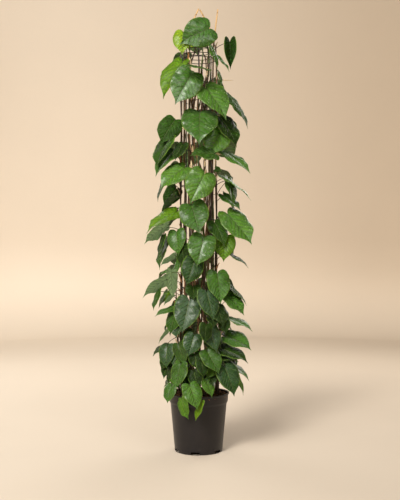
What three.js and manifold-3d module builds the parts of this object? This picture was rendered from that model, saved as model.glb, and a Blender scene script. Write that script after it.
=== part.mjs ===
// Potted heartleaf philodendron that climbs a round wire column, with four bamboo canes inside it.
// Millimetres, +Z up, origin on the floor under the middle of the pot. The front faces -Y.
// Eight long vines stand round the column and six short shoots stand outside them. Each is one grown piece:
// its stem, petioles and heart-shaped blades are joined. The pot, soil, column and canes are pieces of their own.

import * as THREE from 'three';
import { mergeVertices } from 'three/addons/utils/BufferGeometryUtils.js';
import Module from 'manifold-3d';

const wasm = await Module();
wasm.setup();

// Driving dimensions.
const pot = {
  height: 233,
  rimRadius: 122,
  bandRadius: 118.5,
  bandFoot: 199,
  stepRadius: 112,
  stepTop: 190,
  footRadius: 95,
  wall: 2.6,
  floorUnder: 11,
  floorTop: 14,
  padRadius: 38,
  notches: 6,
  notchWidth: 36,
  notchHeight: 10.5,
  notchTurn: -8,
  sides: 30,
};
const soil = { middle: 228, edge: 222, unevenness: 1.6, gap: 0.3, holeGap: 0.35, wireHole: 2.7 };
const column = { radius: 70, wires: 8, wireRadius: 1.5, foot: 60, top: 1625, firstRing: 380, ringStep: 135, rings: 10 };
const cane = { radius: 2.5, sides: 6 };
const vine = { count: 8, radius: 76, root: 150, step: 110, thick: 3.4, thin: 2.6, sway: 0.1, wave: 560, sides: 3 };
const shoot = { count: 6, radius: 90, root: 150, step: 110, thick: 3, thin: 2.3, lean: 0.03, sides: 3 };
const blade = { thickness: 1, lobe: 0.16, ratio: 0.84, petioleRadius: 1.3, petioleTip: 0.45, petioleSides: 3, petioleKnee: 0.45, hold: 5 };
const clear = { blade: 4.5, petiole: 3.6, stem: 6, column: 82, margin: 2 };

// The eye that the listed leaves were read from: how far right of the axis, how high and how far in front.
const eye = { across: 5.6, height: 800, distance: 3400 };

// Heights at which the eight vines and the six shoots end, from the front round by the right.
const vineTops = [1560, 1610, 1530, 1590, 1545, 1600, 1570, 1620];
const shootTops = [560, 620, 480, 540, 500, 640];

// Leaves as seen from the front: [x, z] of the junction with the petiole, [x, z] of the tip, the width seen and the
// junction's distance from the axis (behind the axis where negative), then, where it matters, -1 for a leaf that shows
// its underside and how sharply it is folded along the midrib.
const frontLeaves = [
  [39, 1682, -83, 1617, 120, 84],
  [-62, 1672, -66, 1583, 80, 95],
  [-25, 1672, -40, 1600, 70, -84],
  [-22, 1496, -104, 1368, 115, 112],
  [-65, 1555, -140, 1415, 112, 98],
  [30, 1448, 111, 1325, 110, 105],
  [118, 1432, 197, 1300, 50, 125, 1, 0.5],
  [83, 1510, 88, 1455, 22, 92],
  [122, 1632, 124, 1525, 50, 128, 1, 0.6],
  [60, 1585, 120, 1517, 30, 95],
  [52, 1612, 75, 1525, 35, 92],
  [15, 1345, 3, 1232, 135, 100],
  [-96, 1330, -150, 1205, 75, 110],
  [-118, 1243, -170, 1135, 62, 130],
  [-103, 1195, -172, 1100, 60, 112],
  [-65, 1223, -95, 1160, 50, 90],
  [88, 1330, 152, 1215, 80, 108],
  [87, 1270, 33, 1176, 110, 118],
  [65, 1185, -36, 1185, 60, 98],
  [102, 1193, 207, 1112, 50, 112],
  [67, 1125, 93, 1118, 30, 92],
  [-58, 1128, -154, 1052, 85, 102],
  [23, 1104, -34, 990, 120, 120],
  [104, 1090, 210, 1005, 18, 115],
  [120, 1082, 136, 982, 43, 125],
  [100, 1020, 168, 962, 40, 110],
  [-138, 1080, -164, 995, 25, 145],
  [-90, 1045, -140, 975, 70, -95],
  [-93, 953, -209, 876, 55, 100],
  [-28, 978, 4, 868, 120, 112],
  [117, 945, 213, 828, 100, 125],
  [65, 910, 104, 815, 70, 95],
  [105, 850, 100, 755, 90, 116],
  [21, 850, -8, 736, 113, 118],
  [-89, 873, -79, 780, 76, 108],
  [-124, 892, -213, 826, 28, 130, -1],
  [-143, 855, -160, 780, 30, 150],
  [-128, 845, -156, 725, 40, 132],
  [-93, 783, -153, 740, 28, 98, -1],
  [-82, 755, -97, 690, 30, 92],
  [-103, 720, -155, 706, 16, 107],
  [-128, 683, -224, 614, 45, 132, -1],
  [-15, 760, -48, 663, 90, 112],
  [-110, 713, -102, 608, 40, 118, -1],
  [-160, 638, -181, 560, 30, 164],
  [-125, 635, -160, 570, 30, 130],
  [-102, 620, -140, 580, 20, 112, -1],
  [75, 706, 88, 588, 96, 108],
  [126, 655, 192, 581, 20, 130],
  [115, 622, 182, 543, 60, 125],
  [120, 790, 200, 733, 15, 124],
  [33, 632, 59, 520, 86, 112],
  [-38, 598, -67, 470, 110, 120],
  [-95, 570, -175, 539, 26, 108],
  [-95, 550, -113, 465, 60, 116],
  [113, 527, 216, 480, 17, 120],
  [100, 520, 110, 468, 50, 116],
  [40, 490, 73, 393, 76, 125],
  [113, 462, 211, 413, 55, 125],
  [-18, 458, -42, 377, 78, 130],
  [-28, 478, -65, 460, 25, 115],
  [-125, 415, -128, 328, 65, 140],
  [-80, 423, -52, 342, 63, 128],
  [-130, 425, -183, 380, 20, 134],
  [-119, 486, -160, 428, 18, 124, -1],
  [-18, 385, 1, 321, 60, 128],
  [35, 395, 82, 305, 75, 132],
  [95, 405, 198, 355, 45, 118],
  [85, 385, 160, 358, 35, 114],
  [122, 350, 203, 282, 26, 128],
  [105, 332, 143, 219, 88, 150],
  [150, 310, 179, 221, 25, 160],
  [55, 330, 35, 288, 50, 120],
  [-72, 343, -89, 249, 65, 134],
  [-115, 325, -118, 262, 30, 126],
  [-20, 315, 0, 246, 60, 134],
  [-35, 258, -4, 163, 75, 166],
  [28, 282, 54, 213, 48, 138],
  [-105, 283, -76, 248, 25, 130],
  [-108, 258, -125, 188, 48, 140],
  [-68, 203, -40, 126, 47, 140],
  [9, 192, -12, 118, 30, 140],
];

// Small seeded generator, so that every build draws the same numbers.
function makeDraw(seed) {
  let state = seed;
  return () => {
    state = (Math.imul(state, 1664525) + 1013904223) >>> 0;
    return state / 4294967296;
  };
}

const mix = (a, b, t) => a + (b - a) * t;
const point = (x, y, z) => new THREE.Vector3(x, y, z);
const up = point(0, 0, 1);

// A closed mesh from points and triangles, and a solid from it and back.
function geometryOf(points, triangles) {
  const geometry = new THREE.BufferGeometry();
  geometry.setAttribute('position', new THREE.Float32BufferAttribute(points.flatMap((p) => [p.x, p.y, p.z]), 3));
  geometry.setIndex(triangles.flat());
  return geometry;
}

function solidOf(source) {
  const geometry = source.clone();
  geometry.deleteAttribute('normal');
  geometry.deleteAttribute('uv');
  const merged = mergeVertices(geometry, 1e-4);
  return new wasm.Manifold(new wasm.Mesh({
    numProp: 3,
    vertProperties: new Float32Array(merged.attributes.position.array),
    triVerts: new Uint32Array(merged.index.array),
  }));
}

function geometryFrom(solid) {
  const mesh = solid.getMesh();
  const geometry = new THREE.BufferGeometry();
  geometry.setAttribute('position', new THREE.BufferAttribute(new Float32Array(mesh.vertProperties), 3));
  geometry.setIndex(Array.from(mesh.triVerts));
  geometry.computeVertexNormals();
  return geometry;
}

// Closed tube through the points, with its own radius at each and flat ends.
function tube(points, radii, sides, reference) {
  const corners = [];
  points.forEach((p, i) => {
    const before = points[Math.max(i - 1, 0)];
    const after = points[Math.min(i + 1, points.length - 1)];
    const along = after.clone().sub(before).normalize();
    const across = reference.clone().addScaledVector(along, -reference.dot(along)).normalize();
    const third = along.clone().cross(across);
    for (let k = 0; k < sides; k += 1) {
      const turn = (2 * Math.PI * k) / sides;
      corners.push(p.clone().addScaledVector(across, radii[i] * Math.cos(turn))
        .addScaledVector(third, radii[i] * Math.sin(turn)));
    }
  });
  const triangles = [];
  const last = (points.length - 1) * sides;
  for (let i = 0; i < points.length - 1; i += 1) {
    for (let k = 0; k < sides; k += 1) {
      const a = i * sides + k;
      const b = i * sides + ((k + 1) % sides);
      triangles.push([a, b, b + sides], [a, b + sides, a + sides]);
    }
  }
  for (let k = 1; k < sides - 1; k += 1) {
    triangles.push([0, k + 1, k], [last, last + k, last + k + 1]);
  }
  return geometryOf(corners, triangles);
}

function turned(profile, sides) {
  const lathe = new THREE.LatheGeometry(profile.map(([r, z]) => new THREE.Vector2(r, z)), sides);
  return lathe.rotateX(Math.PI / 2);
}

// Stems. Each is a line of points at even steps of height, plumb where it passes the soil.
function stemLine(kind, turn, top, phase) {
  const points = [];
  const start = soil.middle + 12;
  const reach = (z) => kind.radius + (kind.lean ?? 0) * (z - start);
  const angle = (z) => turn + (kind.sway ?? 0) * Math.sin((2 * Math.PI * (z - start)) / (kind.wave ?? 1) + phase);
  const at = (z, height) => point(reach(z) * Math.sin(angle(z)), -reach(z) * Math.cos(angle(z)), height);
  points.push(at(start, kind.root), at(start, start));
  for (let z = start + kind.step; z < top - kind.step / 2; z += kind.step) {
    points.push(at(z, z));
  }
  points.push(at(top, top));
  return points;
}

const stems = [];
for (let i = 0; i < vine.count; i += 1) {
  const turn = (2 * Math.PI * (i + 0.5)) / vine.count;
  stems.push({ kind: vine, turn, top: vineTops[i], line: stemLine(vine, turn, vineTops[i], 1.3 * i) });
}
for (let i = 0; i < shoot.count; i += 1) {
  const turn = (2 * Math.PI * i) / shoot.count;
  stems.push({ kind: shoot, turn, top: shootTops[i], line: stemLine(shoot, turn, shootTops[i], 0) });
}

function onStem(stem, z) {
  const { line } = stem;
  let i = 1;
  while (i < line.length - 2 && line[i + 1].z < z) {
    i += 1;
  }
  const t = (z - line[i].z) / (line[i + 1].z - line[i].z);
  return line[i].clone().lerp(line[i + 1], t);
}

// Canes: plumb in the soil, then in long easy curves inside the column, with their tips above it.
const caneLines = [
  [[-45, -30, 70], [-45, -30, 245], [-54, -24, 1000], [-57, -20, 1560], [-55, -14, 1650], [-19, -6, 1722], [0, -4, 1764]],
  [[50, 25, 70], [50, 25, 245], [56, 20, 1000], [58, 18, 1560], [57, 14, 1655], [22, 8, 1732], [5, 5, 1762]],
  [[20, -45, 70], [20, -45, 245], [44, -30, 1000], [60, -8, 1600], [68, -2, 1690], [77, 0, 1762]],
  [[-20, 48, 70], [-20, 48, 245], [-38, 22, 1000], [-34, -2, 1520], [-12, -16, 1600], [4, -22, 1650]],
].map((line) => line.map(([x, y, z]) => point(x, y, z)));

// The blade. Shares of its length run along the midrib from the junction, shares of its half width run across.
const outline = [[1, 0], [0.82, 0.15], [0.5, 0.75], [0.1, 1], [-blade.lobe, 0.52], [0, 0]];
const midrib = 0.38;

function widthShare(a) {
  const knots = [[-blade.lobe - 0.01, 0.3], [-0.1, 0.75], [-0.02, 0.92], [0.22, 1], [0.6, 0.57], [0.84, 0.15], [1, 0.02]];
  if (a <= knots[0][0]) {
    return knots[0][1];
  }
  for (let i = 1; i < knots.length; i += 1) {
    if (a <= knots[i][0]) {
      return mix(knots[i - 1][1], knots[i][1], (a - knots[i - 1][0]) / (knots[i][0] - knots[i - 1][0]));
    }
  }
  return knots[knots.length - 1][1];
}

// Height of the blade over its flat frame: the halves rise from the midrib and droop at the edge, the midrib arches.
function rise(leaf, a, b) {
  const side = Math.abs(b) / leaf.half;
  return leaf.length * (leaf.arch * 4 * a * (1 - a)) + leaf.half * (leaf.fold * side - leaf.droop * side * side);
}

function bladePoint(leaf, a, b) {
  return leaf.base.clone().addScaledVector(leaf.along, a * leaf.length).addScaledVector(leaf.across, b)
    .addScaledVector(leaf.face, rise(leaf, a, b));
}

const spotRows = [-0.13, 0, 0.12, 0.25, 0.4, 0.55, 0.7, 0.85, 1];
const spotShares = [-1, -0.66, -0.33, 0, 0.33, 0.66, 1];

function bladeSpots(leaf) {
  const spots = [];
  for (const a of spotRows) {
    for (const share of spotShares) {
      if (a >= 0 || share !== 0) {
        spots.push(bladePoint(leaf, a, share * widthShare(a) * leaf.half));
      }
    }
  }
  return spots;
}

// Signed distance from a blade along its face, or nothing where the place lies past its outline.
function overBlade(leaf, place, margin) {
  const d = place.clone().sub(leaf.base);
  const a = d.dot(leaf.along) / leaf.length;
  const b = d.dot(leaf.across);
  const more = margin / leaf.length;
  if (a < -blade.lobe - more || a > 1 + more || Math.abs(b) > widthShare(a) * leaf.half + margin) {
    return undefined;
  }
  return d.dot(leaf.face) - rise(leaf, a, b);
}

function bladesMeet(one, other) {
  const apart = one.middle.distanceTo(other.middle);
  if (apart > one.reach + other.reach + clear.blade) {
    return false;
  }
  for (const [spots, target] of [[one.spots, other], [other.spots, one]]) {
    let above = 0;
    let below = 0;
    for (const spot of spots) {
      const gap = overBlade(target, spot, clear.margin);
      if (gap !== undefined) {
        if (Math.abs(gap) < clear.blade) {
          return true;
        }
        above += gap > 0 ? 1 : 0;
        below += gap < 0 ? 1 : 0;
      }
    }
    if (above > 0 && below > 0) {
      return true;
    }
  }
  return false;
}

function lineMeetsBlade(spots, leaf, distance) {
  return spots.some((spot) => {
    if (spot.distanceTo(leaf.middle) > leaf.reach + distance) {
      return false;
    }
    const gap = overBlade(leaf, spot, distance);
    return gap !== undefined && Math.abs(gap) < distance;
  });
}

function linesMeet(one, other, distance) {
  return one.some((a) => other.some((b) => a.distanceTo(b) < distance));
}

// A petiole bends once, upwards, between its stem and its blade: its two ends and its knee lie on one arc. That of a
// leaf that hangs over the pot goes round the rim.
function petioleLine(leaf, stem, low) {
  const from = onStem(stem, low);
  const level = (rise(leaf, midrib, 0) * blade.hold) / (midrib * leaf.length) - blade.thickness / 2;
  const to = leaf.base.clone().addScaledVector(leaf.along, blade.hold).addScaledVector(leaf.face, level);
  const bend = from.clone().lerp(to, 0.5);
  bend.z += 0.2 * from.distanceTo(to);
  if (leaf.base.z < pot.height + 20) {
    const flat = Math.hypot(leaf.base.x, leaf.base.y);
    const out = pot.rimRadius + 8;
    bend.set((leaf.base.x * out) / flat, (leaf.base.y * out) / flat, pot.height + 75);
  }
  const t = blade.petioleKnee;
  const knee = from.clone().multiplyScalar((1 - t) * (1 - t)).addScaledVector(bend, 2 * t * (1 - t))
    .addScaledVector(to, t * t);
  return [from, knee, to];
}

const petioleSteps = 9;
const stemSpots = stems.map((stem) => {
  const spots = [];
  for (let z = soil.edge; z < stem.top; z += 6) {
    spots.push(onStem(stem, z));
  }
  return spots;
});
const caneSpots = caneLines.flatMap((line) => {
  const spots = [];
  line.slice(2).forEach((to, i) => {
    const from = line[i + 1];
    const count = Math.ceil(from.distanceTo(to) / 6);
    for (let k = 0; k <= count; k += 1) {
      spots.push(from.clone().lerp(to, k / count));
    }
  });
  return spots.filter((spot) => spot.z > column.top - 30);
});

// Whether a place lies in the pot's wall, in the soil or in the column.
function inHardware(place, room) {
  const flat = Math.hypot(place.x, place.y);
  if (place.z < soil.middle + room && flat < pot.rimRadius + room) {
    return true;
  }
  if (place.z < pot.height + room && flat > pot.rimRadius - 12 && flat < pot.rimRadius + room) {
    return true;
  }
  return place.z < column.top + room && flat < column.radius + room;
}

const leaves = [];

function fits(leaf, strict) {
  if (leaf.spots.some((spot) => inHardware(spot, 4) || (spot.z < column.top + 10
    && Math.hypot(spot.x, spot.y) < clear.column))) {
    return false;
  }
  if (lineMeetsBlade(caneSpots, leaf, clear.stem)) {
    return false;
  }
  if (leaf.petiole.slice(2).some((spot) => inHardware(spot, 3))) {
    return false;
  }
  for (let i = vine.count; i < stems.length; i += 1) {
    if (lineMeetsBlade(stemSpots[i], leaf, clear.stem)) {
      return false;
    }
  }
  for (let i = 0; i < stems.length; i += 1) {
    if (i !== leaf.stem && Math.abs(stems[i].turn - leaf.turn) < 7
      && linesMeet(leaf.petiole, stemSpots[i], clear.stem)) {
      return false;
    }
  }
  for (const other of leaves) {
    const same = other.stem === leaf.stem;
    if (strict || !same) {
      if (bladesMeet(leaf, other) || lineMeetsBlade(leaf.petiole, other, clear.petiole)
        || lineMeetsBlade(other.petiole, leaf, clear.petiole)) {
        return false;
      }
    }
    if (!same && leaf.middle.distanceTo(other.middle) < 260
      && linesMeet(leaf.petiole, other.petiole, clear.petiole)) {
      return false;
    }
  }
  return true;
}

function finished(leaf) {
  leaf.middle = bladePoint(leaf, 0.42, 0);
  leaf.reach = Math.max(0.6 * leaf.length, 0.42 * leaf.length + blade.lobe * leaf.length) + 0.25 * leaf.half;
  leaf.spots = bladeSpots(leaf);
  leaf.turn = Math.atan2(leaf.base.x, -leaf.base.y);
  return leaf;
}

// The stems that could carry a leaf, nearest first.
function carriers(leaf) {
  const rated = [];
  stems.forEach((stem, index) => {
    const low = Math.min(leaf.base.z - leaf.drop, stem.top - 12);
    if (stem.kind === vine && leaf.base.z < 300) {
      return;
    }
    const start = Math.max(low, soil.middle + 25);
    const far = onStem(stem, start).distanceTo(leaf.base);
    rated.push({ index, start, far: far + (stem.kind === vine && leaf.base.z < 420 ? 25 : 0) });
  });
  rated.sort((a, b) => a.far - b.far);
  return rated.slice(0, 3);
}

function seat(leaf, strict) {
  for (const carrier of carriers(leaf)) {
    const [from, knee, to] = petioleLine(leaf, stems[carrier.index], carrier.start);
    leaf.stem = carrier.index;
    leaf.knots = [from, knee, to];
    leaf.petiole = [];
    for (let k = 1; k <= petioleSteps; k += 1) {
      leaf.petiole.push(from.clone().lerp(knee, k / petioleSteps));
    }
    for (let k = 1; k <= petioleSteps; k += 1) {
      leaf.petiole.push(knee.clone().lerp(to, k / petioleSteps));
    }
    if (fits(leaf, strict)) {
      leaves.push(leaf);
      return true;
    }
  }
  return false;
}

// A listed leaf, moved along the line of sight by shift: it looks the same from the front wherever it ends up.
function listedLeaf(row, traits, shift, lean) {
  const [x, z, tipX, tipZ, width, out, side = 1, fold = traits.fold] = row;
  const far = Math.abs(out);
  const depth = Math.sign(out) * -Math.sqrt(Math.max(far * far - x * x, 0)) + shift;
  const scale = (eye.distance + depth) / eye.distance;
  const seen = Math.hypot(tipX - x, tipZ - z) * scale;
  const length = Math.max(1.03 * seen, (width * scale) / 0.95);
  const run = Math.sqrt(length * length - seen * seen) * lean * Math.sign(out);
  const tipScale = (eye.distance + depth - run) / eye.distance;
  const base = point(eye.across + (x - eye.across) * scale, depth, eye.height + (z - eye.height) * scale);
  const tip = point(eye.across + (tipX - eye.across) * tipScale, depth - run,
    eye.height + (tipZ - eye.height) * tipScale);
  const along = tip.clone().sub(base);
  const whole = along.length();
  along.normalize();
  const full = Math.max(width * scale, blade.ratio * whole);
  const cosine = Math.min(1, (width * scale) / full);
  const sine = Math.sqrt(1 - cosine * cosine);
  const front = point(0, -1, 0).addScaledVector(along, along.y).normalize();
  const edge = along.clone().cross(front);
  const flat = Math.hypot(base.x, base.y);
  if (edge.z + (edge.x * base.x) / flat < 0) {
    edge.negate();
  }
  const face = front.multiplyScalar(cosine * side).addScaledVector(edge, sine).normalize();
  return finished({
    base, along, face, across: face.clone().cross(along), length: whole, half: full / 2,
    fold, droop: traits.droop, arch: traits.arch, drop: traits.drop,
  });
}

const shifts = [0, -7, 7, -14, 14, -21, 21, -28, 28, -36, 36, -44, 44, -52, -60, -68, -76];
const leans = [1, 0.55, 1.35];
const drawFront = makeDraw(20261);
frontLeaves.forEach((row) => {
  const traits = {
    fold: 0.12 + 0.16 * drawFront(),
    droop: 0.05 + 0.1 * drawFront(),
    arch: 0.015 + 0.045 * drawFront(),
    drop: 12 + 26 * drawFront(),
  };
  for (const strict of [true, false]) {
    for (const shift of shifts) {
      for (const lean of leans) {
        if (seat(listedLeaf(row, traits, shift, lean), strict)) {
          return;
        }
      }
    }
  }
});

// Leaves that the front hides or shows only as dark gaps: they hang from the stems by a rule. Those at the back stand
// at even steps up each stem, to its left and right. Those near the soil fill the foot of the plant all round.
const back = { step: 94, from: 1.95, swing: 0.32, first: 270, low: 700, tries: 40 };
const filling = { count: 20, first: 262, last: 590, turn: 1.6, golden: 0.618034, tries: 60 };

function hangingLeaf(draw, turn, height, size, out) {
  const length = size + 0.26 * size * draw();
  const tilt = 0.35 + 0.75 * draw();
  const skew = 0.7 * (draw() - 0.5);
  const roll = 0.7 * (draw() - 0.5);
  const radial = point(Math.sin(turn), -Math.cos(turn), 0);
  const sideways = point(Math.cos(turn), Math.sin(turn), 0);
  const base = radial.clone().multiplyScalar(out).addScaledVector(up, height);
  const along = radial.clone().multiplyScalar(Math.sin(tilt)).addScaledVector(up, -Math.cos(tilt))
    .addScaledVector(sideways, skew).normalize();
  const over = radial.clone().multiplyScalar(Math.cos(tilt)).addScaledVector(up, Math.sin(tilt))
    .addScaledVector(sideways, roll);
  const face = over.addScaledVector(along, -over.dot(along)).normalize();
  const half = (length * (0.86 + 0.12 * draw())) / 2;
  return finished({
    base, along, face, across: face.clone().cross(along), length, half,
    fold: 0.12 + 0.16 * draw(), droop: 0.05 + 0.1 * draw(), arch: 0.015 + 0.045 * draw(), drop: 12 + 26 * draw(),
  });
}

const drawFilling = makeDraw(99);
for (let i = 0; i < filling.count; i += 1) {
  const share = (i * filling.golden) % 1;
  for (let go = 0; go < filling.tries; go += 1) {
    const turn = filling.turn * (2 * share - 1) + 0.3 * (drawFilling() - 0.5);
    const height = mix(filling.first, filling.last, i / filling.count) + 20 * (drawFilling() - 0.5);
    if (seat(hangingLeaf(drawFilling, turn, height, 78, 88 + 24 * drawFilling()), true)) {
      break;
    }
  }
}

const drawBack = makeDraw(4711);
stems.forEach((stem) => {
  if (stem.turn < 1.7 || stem.turn > 2 * Math.PI - 1.7) {
    return;
  }
  const first = stem.kind === vine ? back.first + 120 : back.first;
  let hand = 1;
  for (let height = first; height < stem.top + 25; height += back.step) {
    for (let go = 0; go < back.tries; go += 1) {
      const wanted = stem.turn + hand * back.swing * (0.4 + drawBack());
      const turn = Math.min(Math.max(wanted, back.from), 2 * Math.PI - back.from);
      const low = height < back.low;
      const out = (low ? 112 : 96) + 24 * drawBack();
      const leaf = hangingLeaf(drawBack, turn, height + 18 * (drawBack() - 0.5), low ? 90 : 110, out);
      if (seat(leaf, go < back.tries / 2)) {
        break;
      }
    }
    hand = -hand;
  }
});

// The blade as a thin closed plate, split into triangles alike on both faces.
function bladeSolid(leaf) {
  const ring = outline.concat(outline.slice(1, -1).reverse().map(([a, share]) => [a, -share]));
  const flat = ring.concat([[midrib, 0]]);
  const top = flat.map(([a, share]) => bladePoint(leaf, a, share * leaf.half));
  const bottom = top.map((p) => p.clone().addScaledVector(leaf.face, -blade.thickness));
  const count = flat.length;
  const [tip, taper, flank, wide, lobe, notch] = [0, 1, 2, 3, 4, 5];
  const middle = ring.length;
  const half = [[notch, wide, lobe], [notch, middle, wide], [middle, flank, wide], [middle, taper, flank],
    [middle, tip, taper]];
  const mirror = (i) => (i > 0 && i < notch ? ring.length - i : i);
  const upper = half.concat(half.map(([a, b, c]) => [mirror(a), mirror(c), mirror(b)]));
  const triangles = upper.concat(upper.map(([a, b, c]) => [a + count, c + count, b + count]));
  for (let i = 0; i < ring.length; i += 1) {
    const j = (i + 1) % ring.length;
    triangles.push([i + count, j + count, j], [i + count, j, i]);
  }
  return solidOf(geometryOf(top.concat(bottom), triangles));
}

function petioleSolid(leaf) {
  const [from, knee, to] = leaf.knots;
  const plane = knee.clone().sub(from).cross(to.clone().sub(knee));
  const reference = plane.length() > 1e-6 ? plane.normalize() : leaf.across;
  const radii = [blade.petioleRadius, blade.petioleRadius, blade.petioleTip];
  return solidOf(tube(leaf.knots, radii, blade.petioleSides, reference));
}

// Colours and finishes.
const materials = {
  pot: new THREE.MeshStandardMaterial({ color: 0x34302d, roughness: 0.55, metalness: 0 }),
  soil: new THREE.MeshStandardMaterial({ color: 0x2e2018, roughness: 0.95, metalness: 0 }),
  wire: new THREE.MeshStandardMaterial({ color: 0x1d1b1a, roughness: 0.45, metalness: 0.2 }),
  cane: new THREE.MeshStandardMaterial({ color: 0xb98346, roughness: 0.6, metalness: 0 }),
  foliage: new THREE.MeshStandardMaterial({ color: 0x2f5a28, roughness: 0.35, metalness: 0 }),
};

const plant = new THREE.Group();
plant.name = 'potted_heartleaf_philodendron';

function addPiece(name, geometry, material) {
  const mesh = new THREE.Mesh(geometry, material);
  mesh.name = name;
  plant.add(mesh);
}

// Pot: foot ring, raised floor with a flat pad in the middle, tapered wall, step, band and rim.
function potSolid() {
  const inner = (radius) => radius - pot.wall;
  const profile = [
    [0, 0], [pot.padRadius, 0], [pot.padRadius, pot.floorUnder], [pot.footRadius - 6.5, pot.floorUnder],
    [pot.footRadius - 5.5, 0], [pot.footRadius - 2.5, 0], [pot.footRadius, 4], [pot.stepRadius, pot.stepTop],
    [pot.bandRadius - 1.5, pot.bandFoot], [pot.bandRadius, pot.height - 7], [pot.rimRadius, pot.height - 5.5],
    [pot.rimRadius, pot.height], [inner(pot.rimRadius) - 1, pot.height],
    [inner(pot.bandRadius - 1.5), pot.bandFoot], [inner(pot.stepRadius), pot.stepTop - 2],
    [inner(pot.footRadius), pot.floorTop], [0, pot.floorTop],
  ];
  let solid = solidOf(turned(profile, pot.sides));
  for (let i = 0; i < pot.notches; i += 1) {
    const notch = new THREE.BoxGeometry(pot.notchWidth, 24, 2 * pot.notchHeight);
    notch.translate(0, -pot.footRadius + 3, 0);
    notch.rotateZ(THREE.MathUtils.degToRad(pot.notchTurn + (360 * i) / pot.notches));
    solid = solid.subtract(solidOf(notch));
  }
  return solid;
}

// Soil: fills the pot just clear of its wall, with an uneven top and plain holes for what stands in it.
function soilSolid() {
  const inner = (radius) => radius - pot.wall - soil.gap;
  const edgeShare = (soil.edge - pot.bandFoot) / (pot.height - pot.bandFoot);
  const edgeRadius = mix(inner(pot.bandRadius - 1.5), inner(pot.rimRadius) - 1, edgeShare);
  const profile = [
    [0, pot.floorTop + soil.gap], [inner(pot.footRadius), pot.floorTop + soil.gap],
    [inner(pot.stepRadius), pot.stepTop - 2], [inner(pot.bandRadius - 1.5), pot.bandFoot], [edgeRadius, soil.edge],
    [104, soil.edge + 3], [58, soil.middle], [0, soil.middle],
  ];
  const body = turned(profile, pot.sides);
  const draw = makeDraw(77);
  const places = body.attributes.position;
  const heaps = Array.from({ length: pot.sides }, () => soil.unevenness * (draw() - 0.5));
  for (let i = 0; i < places.count; i += 1) {
    const flat = Math.hypot(places.getX(i), places.getY(i));
    if (flat > 50 && flat < 106 && places.getZ(i) > soil.edge) {
      const turn = Math.round((Math.atan2(places.getX(i), -places.getY(i)) / (2 * Math.PI)) * pot.sides);
      places.setZ(i, places.getZ(i) + heaps[(turn + pot.sides) % pot.sides]);
    }
  }
  let solid = solidOf(body);
  const hole = (x, y, low, radius, sides) => {
    const line = [point(x, y, low - soil.gap), point(x, y, soil.middle + 20)];
    solid = solid.subtract(solidOf(tube(line, [radius, radius], sides, point(1, 0, 0))));
  };
  stems.forEach(({ kind, line }) => {
    hole(line[0].x, line[0].y, kind.root, kind.thick + soil.holeGap, kind.sides);
  });
  caneLines.forEach((line) => hole(line[0].x, line[0].y, line[0].z, cane.radius + soil.holeGap, cane.sides));
  for (let i = 0; i < column.wires; i += 1) {
    const turn = (2 * Math.PI * i) / column.wires;
    hole(column.radius * Math.sin(turn), -column.radius * Math.cos(turn), column.foot, soil.wireHole, 6);
  }
  return solid;
}

// Column: upright wires and rings, square in section, welded where they cross into one closed lattice.
function columnGeometry() {
  const r = column.wireRadius;
  const heights = Array.from({ length: column.rings }, (_, i) => column.firstRing + i * column.ringStep);
  const levels = [column.foot, ...heights.flatMap((z) => [z - r, z + r]), column.top];
  const corners = [];
  for (let i = 0; i < column.wires; i += 1) {
    const turn = (2 * Math.PI * i) / column.wires;
    const outward = point(Math.sin(turn), -Math.cos(turn), 0);
    const sideways = point(Math.cos(turn), Math.sin(turn), 0);
    for (const z of levels) {
      for (const [o, s] of [[1, -1], [1, 1], [-1, 1], [-1, -1]]) {
        corners.push(outward.clone().multiplyScalar(column.radius + o * r).addScaledVector(sideways, s * r)
          .addScaledVector(up, z));
      }
    }
  }
  const at = (i, level, corner) => ((i % column.wires) * levels.length + level) * 4 + corner;
  const triangles = [];
  const quad = (a, b, c, d) => triangles.push([a, b, c], [a, c, d]);
  for (let i = 0; i < column.wires; i += 1) {
    for (let level = 0; level < levels.length - 1; level += 1) {
      const welded = level % 2 === 1;
      for (let k = 0; k < 4; k += 1) {
        const next = (k + 1) % 4;
        if (!welded || k === 0 || k === 2) {
          quad(at(i, level, k), at(i, level, next), at(i, level + 1, next), at(i, level + 1, k));
        }
      }
      if (welded) {
        quad(at(i, level, 1), at(i + 1, level, 0), at(i + 1, level + 1, 0), at(i, level + 1, 1));
        quad(at(i + 1, level, 3), at(i, level, 2), at(i, level + 1, 2), at(i + 1, level + 1, 3));
        quad(at(i, level + 1, 1), at(i + 1, level + 1, 0), at(i + 1, level + 1, 3), at(i, level + 1, 2));
        quad(at(i + 1, level, 0), at(i, level, 1), at(i, level, 2), at(i + 1, level, 3));
      }
    }
    quad(at(i, 0, 3), at(i, 0, 2), at(i, 0, 1), at(i, 0, 0));
    const top = levels.length - 1;
    quad(at(i, top, 0), at(i, top, 1), at(i, top, 2), at(i, top, 3));
  }
  return geometryOf(corners, triangles);
}

// A vine or shoot: its stem with every petiole and blade that it carries, joined into one body.
function stemSolid(stem, index) {
  const { kind, line } = stem;
  const radii = line.map((p) => mix(kind.thick, kind.thin, Math.max(0, (p.z - soil.middle) / (stem.top - soil.middle))));
  let solid = solidOf(tube(line, radii, kind.sides, point(1, 0, 0)));
  leaves.filter((leaf) => leaf.stem === index).forEach((leaf) => {
    solid = solid.add(petioleSolid(leaf)).add(bladeSolid(leaf));
  });
  return solid;
}

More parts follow.
